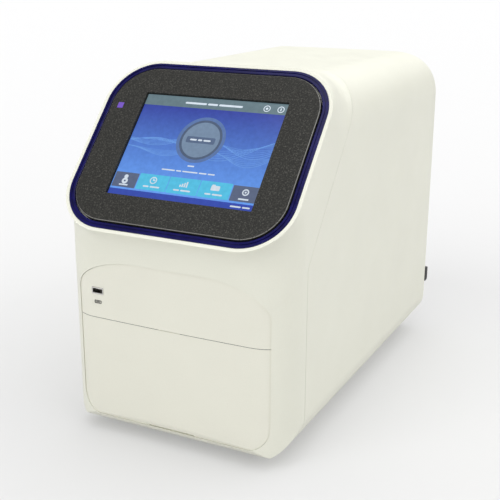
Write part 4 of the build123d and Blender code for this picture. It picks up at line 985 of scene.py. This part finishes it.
        # Bars in millimetres on the picture: left end, lengths, lower limit and height.
        bars = [
            *self.words(x - 35.0, (26.0, 12.0, 28.0), 55.2, 2.4),
            *self.words(x - 12.5, (8.0, 5.0, 8.5), y - 1.5, 2.0),
            self.block(x - 3.6, x + 4.4, -21.2, -19.6, 0.8),
            *self.words(x - 32.0, (16.0, 6.0, 18.0, 9.0, 8.0), -28.2, 1.5),
            *self.words(61.5, (12.0, 8.5), -60.8, 1.7),
        ]
        for k in range(3):
            centre = self.tile_left + pitch * (k + 0.5)
            bars += self.words(centre - 10.0, (7.0, 11.5), -50.6, 1.8)
        bars += [self.block(-74.0, -63.0, -51.8, -50.1, 0.8), self.block(67.4, 79.0, -51.8, -50.1, 0.8)]
        self.patch("picture_bars", bars, 4, white)
        self.patch("picture_icons", self.icons(pitch), 4, white)

    def icons(self, pitch: float) -> list[np.ndarray]:
        """Plain icons: rings, dots, a bar chart, a folder and a small cross of bars.

        Args:
            pitch: Width of one tile.

        Returns:
            Local grids.
        """
        first, second, third = (self.tile_left + pitch * (k + 0.5) for k in range(3))
        # Discs by middle and radii, blocks by their four limits, in millimetres on the picture.
        shapes = [
            self.disc(63.6, 56.8, 3.9, 3.0), self.disc(63.6, 56.8, 1.4),
            self.disc(79.5, 56.8, 3.9, 3.0), self.block(78.9, 80.1, 55.0, 58.6, 0.5),
            self.disc(first, -42.0, 4.2, 3.1), self.block(first - 0.6, first + 2.4, -42.6, -41.4, 0.5),
            self.block(first - 0.6, first + 0.6, -42.4, -39.6, 0.5),
            self.block(third - 5.0, third + 5.0, -45.2, -39.6, 1.0),
            self.block(third - 4.6, third - 0.6, -40.2, -38.4, 0.8),
            self.disc(-68.5, -41.0, 2.4), self.disc(-68.5, -46.2, 3.6, 1.2, 6),
            self.disc(73.2, -43.0, 3.8, 2.4), self.disc(73.2, -43.0, 1.1),
        ]
        chart_left, bar_width, bar_pitch, bar_rise = second - 4.6, 1.7, 2.5, 1.3
        for k in range(4):
            start = chart_left + bar_pitch * k
            shapes.append(self.block(start, start + bar_width, -45.6, -43.0 + bar_rise * k, 0.3))
        return shapes


@dataclass
class SampleBlock:
    """Plated block with round tapered wells, over the CAD block of the same size."""

    pitch: float = 0.009
    columns: int = 12
    rows: int = 8
    well_top: float = 0.00275
    well_bottom: float = 0.0011
    well_depth: float = 0.013
    rim: float = 0.0003
    chamfer: float = 0.0006
    steps: int = 6

    def wells(self, centre: np.ndarray, top: float) -> list[np.ndarray]:
        """Cells of the top face, each running from its square border to a round rim and down the taper.

        A point of the border is scaled towards the rim circle at the same angle, so each cell is a surface
        of angle and radius, and the taper's radius falls evenly with depth.

        Args:
            centre: Middle of the field of wells, across and along.
            top: Height of the top face.

        Returns:
            One grid for each well.
        """
        turns = np.linspace(0.0, 2 * math.pi, 4 * self.steps + 1) + math.pi / 4
        circle = np.column_stack([np.cos(turns), np.sin(turns)])
        square = circle / np.abs(circle).max(axis=1)[:, None] * self.pitch / 2
        tip = self.well_depth + self.well_bottom / 2
        rows = [
            (square, 0.0), (circle * (self.well_top + self.rim), 0.0), (circle * self.well_top, -self.rim),
            (circle * self.well_bottom, -self.well_depth), (circle * 0.0, -tip),
        ]
        cell = np.stack([np.column_stack([line, np.full(len(line), top + drop)]) for line, drop in rows])
        x = centre[0] + (np.arange(self.columns) - (self.columns - 1) / 2) * self.pitch
        y = centre[1] + (np.arange(self.rows) - (self.rows - 1) / 2) * self.pitch
        places = np.stack(np.meshgrid(x, y), axis=-1).reshape(-1, 2)
        return list(cell[None] + np.column_stack([places, np.zeros(len(places))])[:, None, None, :])

    def build(self, dresser: Dresser) -> None:
        """Make the wells, the border of the top face, the sides and the bottom.

        Args:
            dresser: Source of the slot's material.
        """
        low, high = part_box("sample_block")
        centre = np.array(((low.x + high.x) / 2, (low.y + high.y) / 2))
        field = np.array((self.columns, self.rows)) * self.pitch
        corners = np.array(((1, 1), (-1, 1), (-1, -1), (1, -1), (1, 1)), float)
        inner = corners * field / 2
        outer = corners * np.array((high.x - low.x, high.y - low.y)) / 2
        rows = [
            (inner, high.z), (outer - corners * self.chamfer, high.z), (outer, high.z - self.chamfer),
            (outer, low.z), (corners * 0.0, low.z),
        ]
        shell = [np.column_stack([line + centre, np.full(len(line), level)]) for line, level in rows]
        piece_from_grids(
            "well_block", [np.stack(shell), *self.wells(centre, high.z)], dresser.finish("block_metal"),
            "drawer", ("sample_block",),
        )


@dataclass
class Fixings:
    """Screws of the rear panel, fans and base, with domed heads and cross recesses."""

    head: float = 0.0034
    dome: float = 0.0019
    recess: float = 0.0011
    slot_half: float = 0.00045
    slot_reach: float = 0.0019
    foot_depth: float = 0.0002
    inset: float = 0.0085
    side_levels: tuple[float, ...] = (0.075, 0.165, 0.255)
    top_half: float = 0.055
    low_half: float = 0.05
    fan_edge: float = 0.0043
    fan_scale: float = 1.15
    pan_half: float = 0.045
    pan_front: float = 0.02
    pan_middle: float = 0.05
    pan_rear: float = 0.015
    crown: float = 1.02
    steps: int = 32
    rings: tuple[float, ...] = (0.0, 0.12, 0.25, 0.4, 0.5, 0.58, 0.7, 0.85, 0.95, 1.0)

    def screw(self, place: Placement, scale: float = 1.0) -> np.ndarray:
        """One head as a surface of radius and angle: a dome whose height drops inside the cross.

        Args:
            place: Where the head sits.
            scale: Size against the usual head.

        Returns:
            Grid of points.
        """
        radii = np.array(self.rings)[:, None] * self.head
        turns = np.linspace(0.0, 2 * math.pi, self.steps + 1)
        across, up = radii * np.cos(turns), radii * np.sin(turns)
        height = self.dome * np.sqrt(np.clip(self.crown - (radii / self.head) ** 2, 0.0, 1.0))
        arm = np.minimum(np.abs(across), np.abs(up)) < self.slot_half
        inside = arm & (np.hypot(across, up) < self.slot_reach)
        height = np.where(inside, height - self.recess, height)
        height[0] = self.dome - self.recess
        top = np.stack([across, up, height], axis=-1)
        foot = top[-1:].copy()
        foot[..., 2] = -self.foot_depth
        middle = foot * np.array((0.0, 0.0, 1.0))
        return place.world(np.concatenate([top, foot, middle]) * scale)

    def build(self, dresser: Dresser) -> None:
        """Place the heads on the rear panel, round both fans and under the base pan.

        Args:
            dresser: Source of the slot's material.
        """
        low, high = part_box("rear_panel")
        side = high.x - self.inset
        spots = [(turn * side, level) for turn in (-1, 1) for level in self.side_levels]
        spots += [(turn * self.top_half, high.z - self.inset) for turn in (-1, 1)]
        spots += [(turn * self.low_half, low.z + self.inset) for turn in (-1, 1)]
        grids = [self.screw(facing((x, high.y, z), (0, 1, 0))) for x, z in spots]
        fans_low, fans_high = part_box("exhaust_fan_frames")
        fan = fans_high.z - fans_low.z
        middle_z, middle_x = (fans_high.z + fans_low.z) / 2, fans_high.x - fan / 2
        reach = fan / 2 - self.fan_edge
        across = [a * middle_x + b * reach for a in (-1, 1) for b in (-1, 1)]
        corners = [(x, middle_z + c * reach) for x in across for c in (-1, 1)]
        grids += [self.screw(facing((x, high.y, z), (0, 1, 0)), self.fan_scale) for x, z in corners]
        pan_low, pan_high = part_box("base_pan")
        rows = (pan_low.y + self.pan_front, self.pan_middle, pan_high.y - self.pan_rear)
        under = [(turn * self.pan_half, y) for turn in (-1, 1) for y in rows]
        grids += [self.screw(facing((x, y, pan_low.z), (0, 0, -1))) for x, y in under]
        finish = dresser.finish("shaft_steel")
        piece_from_grids("screw_heads", grids, finish, "chassis", crease=40.0)


@dataclass
class FrontMarks:
    """Small printed mark under the front socket: a plain outline of a socket."""

    width: float = 0.0085
    height: float = 0.0034
    drop: float = 0.0127
    line: float = 0.0006
    bar_share: float = 0.6
    sunk: float = 0.002
    ink: float = 0.00005

    def build(self, dresser: Dresser) -> None:
        """Print the outline and its bar on the panel's face.

        Args:
            dresser: Source of the slot's material.
        """
        low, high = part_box("front_socket")
        centre_x, centre_z = (low.x + high.x) / 2, (low.z + high.z) / 2 - self.drop
        place = facing((centre_x, low.y, centre_z), (0, -1, 0))
        hollow = 2 * self.line
        outer = rounded_outline(self.width, self.height, self.line, 4)
        inner = rounded_outline(self.width - hollow, self.height - hollow, self.line / 2, 4)
        bar = rounded_outline(self.width * self.bar_share, self.line, self.line / 3, 4)
        shapes = [band(outer, inner, -self.sunk, self.ink), raised_plate(bar, -self.sunk, self.ink)]
        grids = [place.world(shape) for shape in shapes]
        finish = dresser.finish("socket_plastic")
        piece_from_grids("socket_mark", grids, finish, "chassis")


@dataclass
class DrawerGapShade:
    """Dark strip in the gap between the fixed panel and the drawer front, a little behind their faces:
    painted shade in the seam.
    """

    recess: float = 0.0007
    half: float = 0.0005
    clear: float = 0.00005
    near: float = 0.0001
    end: float = 0.001
    steps: int = 120

    def face_line(self) -> np.ndarray:
        """Outer edge of the drawer front's top, read from its mesh.

        Of the top's points near each position across, the foremost one is taken. Those behind the
        chord through the first, middle and last of them lie on the rear edge and are left out. The
        middle one is always kept: here it is on the rear edge too, so the line has a notch there.

        Returns:
            Points across and along, from left to right, in metres.
        """
        node = frame["nodes"]["drawer_front"]
        mesh = node.data
        points = np.empty(3 * len(mesh.vertices))
        mesh.vertices.foreach_get("co", points)
        turn = np.array(node.matrix_world)
        points = points.reshape(-1, 3) @ turn[:3, :3].T + turn[:3, 3]
        top = points[points[:, 2] > points[:, 2].max() - self.near]
        across = top[:, 0] / self.near
        columns = np.unique(np.round(across).astype(int))
        same = np.abs(across[None, :] - columns[:, None]) < 1
        line = top[np.where(same, top[None, :, 1], np.inf).argmin(axis=1), :2]
        chord = np.interp(line[:, 0], *line[[0, len(line) // 2, -1]].T)
        return line[line[:, 1] <= chord + self.near]

    def build(self, dresser: Dresser) -> None:
        """Lay the dark strip of painted shade along the gap.

        Args:
            dresser: Source of the slot's material.
        """
        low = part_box("drawer_front")[1].z + self.clear
        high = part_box("front_panel")[0].z - self.clear
        edge = self.face_line()
        across = np.linspace(edge[0, 0] + self.end, edge[-1, 0] - self.end, self.steps)
        path = np.column_stack([across, np.interp(across, *edge.T) + self.recess])
        grid = ribbon(path, self.half, low, high)
        # The dark finish of the rubber slot paints the shade in the seam.
        piece_from_grids("drawer_gap_shade", [grid], dresser.finish("rubber"), "chassis", crease=40.0)


@dataclass
class Studio:
    """Floor, world, lights and the camera at the photograph's viewing angle."""

    eye: Triple = (0.47506, -1.0052, 0.5052)
    target: Triple = (-0.01993, -0.01276, 0.1609)
    lens: float = 66.576
    roll: float = 0.24
    sensor: float = 36.0
    clip_end: float = 200.0
    floor_half: float = 60.0
    floor_steps: int = 13
    near: float = 0.45
    near_shade_tone: float = 243.0
    far_tone: float = 254.0
    shade_share: float = 0.68
    floor_light: float = 1.27
    bounce: float = 0.66
    world_level: float = 0.36
    top_level: float = 0.76
    top_spread: float = 96.0
    front_level: float = 0.34
    side_level: float = 0.06
    lamp_spread: float = 50.0

    def camera(self) -> None:
        """Camera axes: out of the picture along the sight line, turned by a small roll."""
        eye, target = Vector(self.eye), Vector(self.target)
        sight = (target - eye).normalized()
        flat = sight.cross(Vector((0, 0, 1))).normalized()
        upright = flat.cross(sight)
        turn = math.radians(self.roll)
        right = flat * math.cos(turn) + upright * math.sin(turn)
        up = upright * math.cos(turn) - flat * math.sin(turn)
        data = bpy.data.cameras.new("photo_camera")
        data.lens, data.sensor_width, data.clip_end = self.lens, self.sensor, self.clip_end
        camera = added("photo_camera", data)
        camera.matrix_world = Matrix.Translation(eye) @ Matrix((right, up, -sight)).transposed().to_4x4()
        bpy.context.scene.camera = camera

    def floor_finish(self) -> Material:
        """Pale floor: its tone runs lighter away from the part, so the darker tone near it is painted shade,
        and part of it is lit so shadows stay.
        """
        graph = Graph("floor_finish")
        away = graph.nodes.new("ShaderNodeVectorMath")
        away.operation = "LENGTH"
        graph.links.new(graph.place, away.inputs[0])
        # Darker tone within reach of the part: painted shade round it.
        reach = graph.maths("MAXIMUM", away.outputs["Value"], self.near)
        near_share = graph.maths("DIVIDE", self.near, reach)
        near_shade_tone, far_tone = (screen_colour(*[level] * 3) for level in (self.near_shade_tone, self.far_tone))
        grain = graph.varied(9.0, 3.0, 0.0, 0.01)
        tone = graph.blend(grain, graph.blend(near_share, far_tone, near_shade_tone), (0.8, 0.8, 0.8))
        glow = graph.nodes.new("ShaderNodeEmission")
        graph.links.new(tone, glow.inputs["Color"])
        glow.inputs["Strength"].default_value = 1 - self.shade_share
        soft = graph.nodes.new("ShaderNodeBsdfDiffuse")
        dark_share = 1 - self.shade_share / self.floor_light
        graph.feed(soft.inputs["Color"], graph.blend(dark_share, tone, (0.0, 0.0, 0.0)))
        seen = graph.nodes.new("ShaderNodeAddShader")
        graph.links.new(glow.outputs[0], seen.inputs[0])
        graph.links.new(soft.outputs[0], seen.inputs[1])
        path = graph.nodes.new("ShaderNodeLightPath")
        direct = graph.maths("MAXIMUM", path.outputs["Is Camera Ray"], path.outputs["Is Glossy Ray"])
        direct = graph.maths("MAXIMUM", direct, path.outputs["Is Transmission Ray"])
        graph.set(Base_Color=(self.bounce,) * 3, Roughness=0.8)
        choice = graph.nodes.new("ShaderNodeMixShader")
        graph.links.new(direct, choice.inputs[0])
        graph.links.new(graph.shader.outputs[0], choice.inputs[1])
        graph.links.new(seen.outputs[0], choice.inputs[2])
        graph.links.new(choice.outputs[0], graph.output.inputs["Surface"])
        return graph.material

    def floor(self) -> None:
        """Flat floor at the height of the feet, as a grid of two parameters."""
        steps = self.floor_steps
        line = np.linspace(-self.floor_half, self.floor_half, steps)
        across, along = np.meshgrid(line, line)
        points = np.stack([across, along, np.zeros_like(across)], axis=-1).reshape(-1, 3)
        index = np.arange(steps * steps).reshape(steps, steps)
        corners = [index[:-1, :-1], index[:-1, 1:], index[1:, 1:], index[1:, :-1]]
        cells = np.stack(corners, -1).reshape(-1, 4)
        mesh = bpy.data.meshes.new("floor")
        mesh.from_pydata(points.tolist(), [], cells.tolist())
        mesh.materials.append(self.floor_finish())
        added("floor", mesh)

    def lamp(self, name: str, level: float, direction: Triple, softness: float) -> None:
        """Wide distant lamp.

        Args:
            name: Name of the lamp.
            level: Brightness that it alone gives a white surface facing it.
            direction: Direction towards the lamp.
            softness: Angle that it fills, in degrees.
        """
        data = bpy.data.lights.new(name, "SUN")
        data.energy = level * math.pi
        data.angle = math.radians(softness)
        lamp = added(name, data)
        lamp.rotation_euler = Vector(direction).to_track_quat("Z", "Y").to_euler()

    def build(self) -> None:
        """Make the camera, the floor, the world and three wide lamps."""
        scene = bpy.context.scene
        scene.view_settings.view_transform = "Standard"
        world = bpy.data.worlds.new("studio_world")
        world.use_nodes = True
        backdrop = world.node_tree.nodes["Background"]
        seen = world.node_tree.nodes.new("ShaderNodeLightPath").outputs["Is Camera Ray"]
        strength = world.node_tree.nodes.new("ShaderNodeMapRange")
        strength.inputs["To Min"].default_value = self.world_level
        strength.inputs["To Max"].default_value = 1.0
        world.node_tree.links.new(seen, strength.inputs["Value"])
        world.node_tree.links.new(strength.outputs["Result"], backdrop.inputs["Strength"])
        backdrop.inputs["Color"].default_value = (0.99, 0.99, 1.0, 1.0)
        scene.world = world
        self.camera()
        self.floor()
        self.lamp("top_lamp", self.top_level, (0.22, 0.3, 1.0), self.top_spread)
        self.lamp("front_lamp", self.front_level, (-0.35, -1.0, 0.75), self.lamp_spread)
        self.lamp("side_lamp", self.side_level, (1.0, -0.35, 0.6), self.lamp_spread)
        LOG.info("studio: camera, floor and three lamps")


def main() -> None:
    """Dress the CAD nodes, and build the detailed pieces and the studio."""
    logging.basicConfig(level=logging.INFO, format="%(message)s")
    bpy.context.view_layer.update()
    dresser = Dresser()
    dresser.dress()
    Display().build()
    SampleBlock().build(dresser)
    Fixings().build(dresser)
    FrontMarks().build(dresser)
    DrawerGapShade().build(dresser)
    Studio().build()


if __name__ == "__main__":
    main()
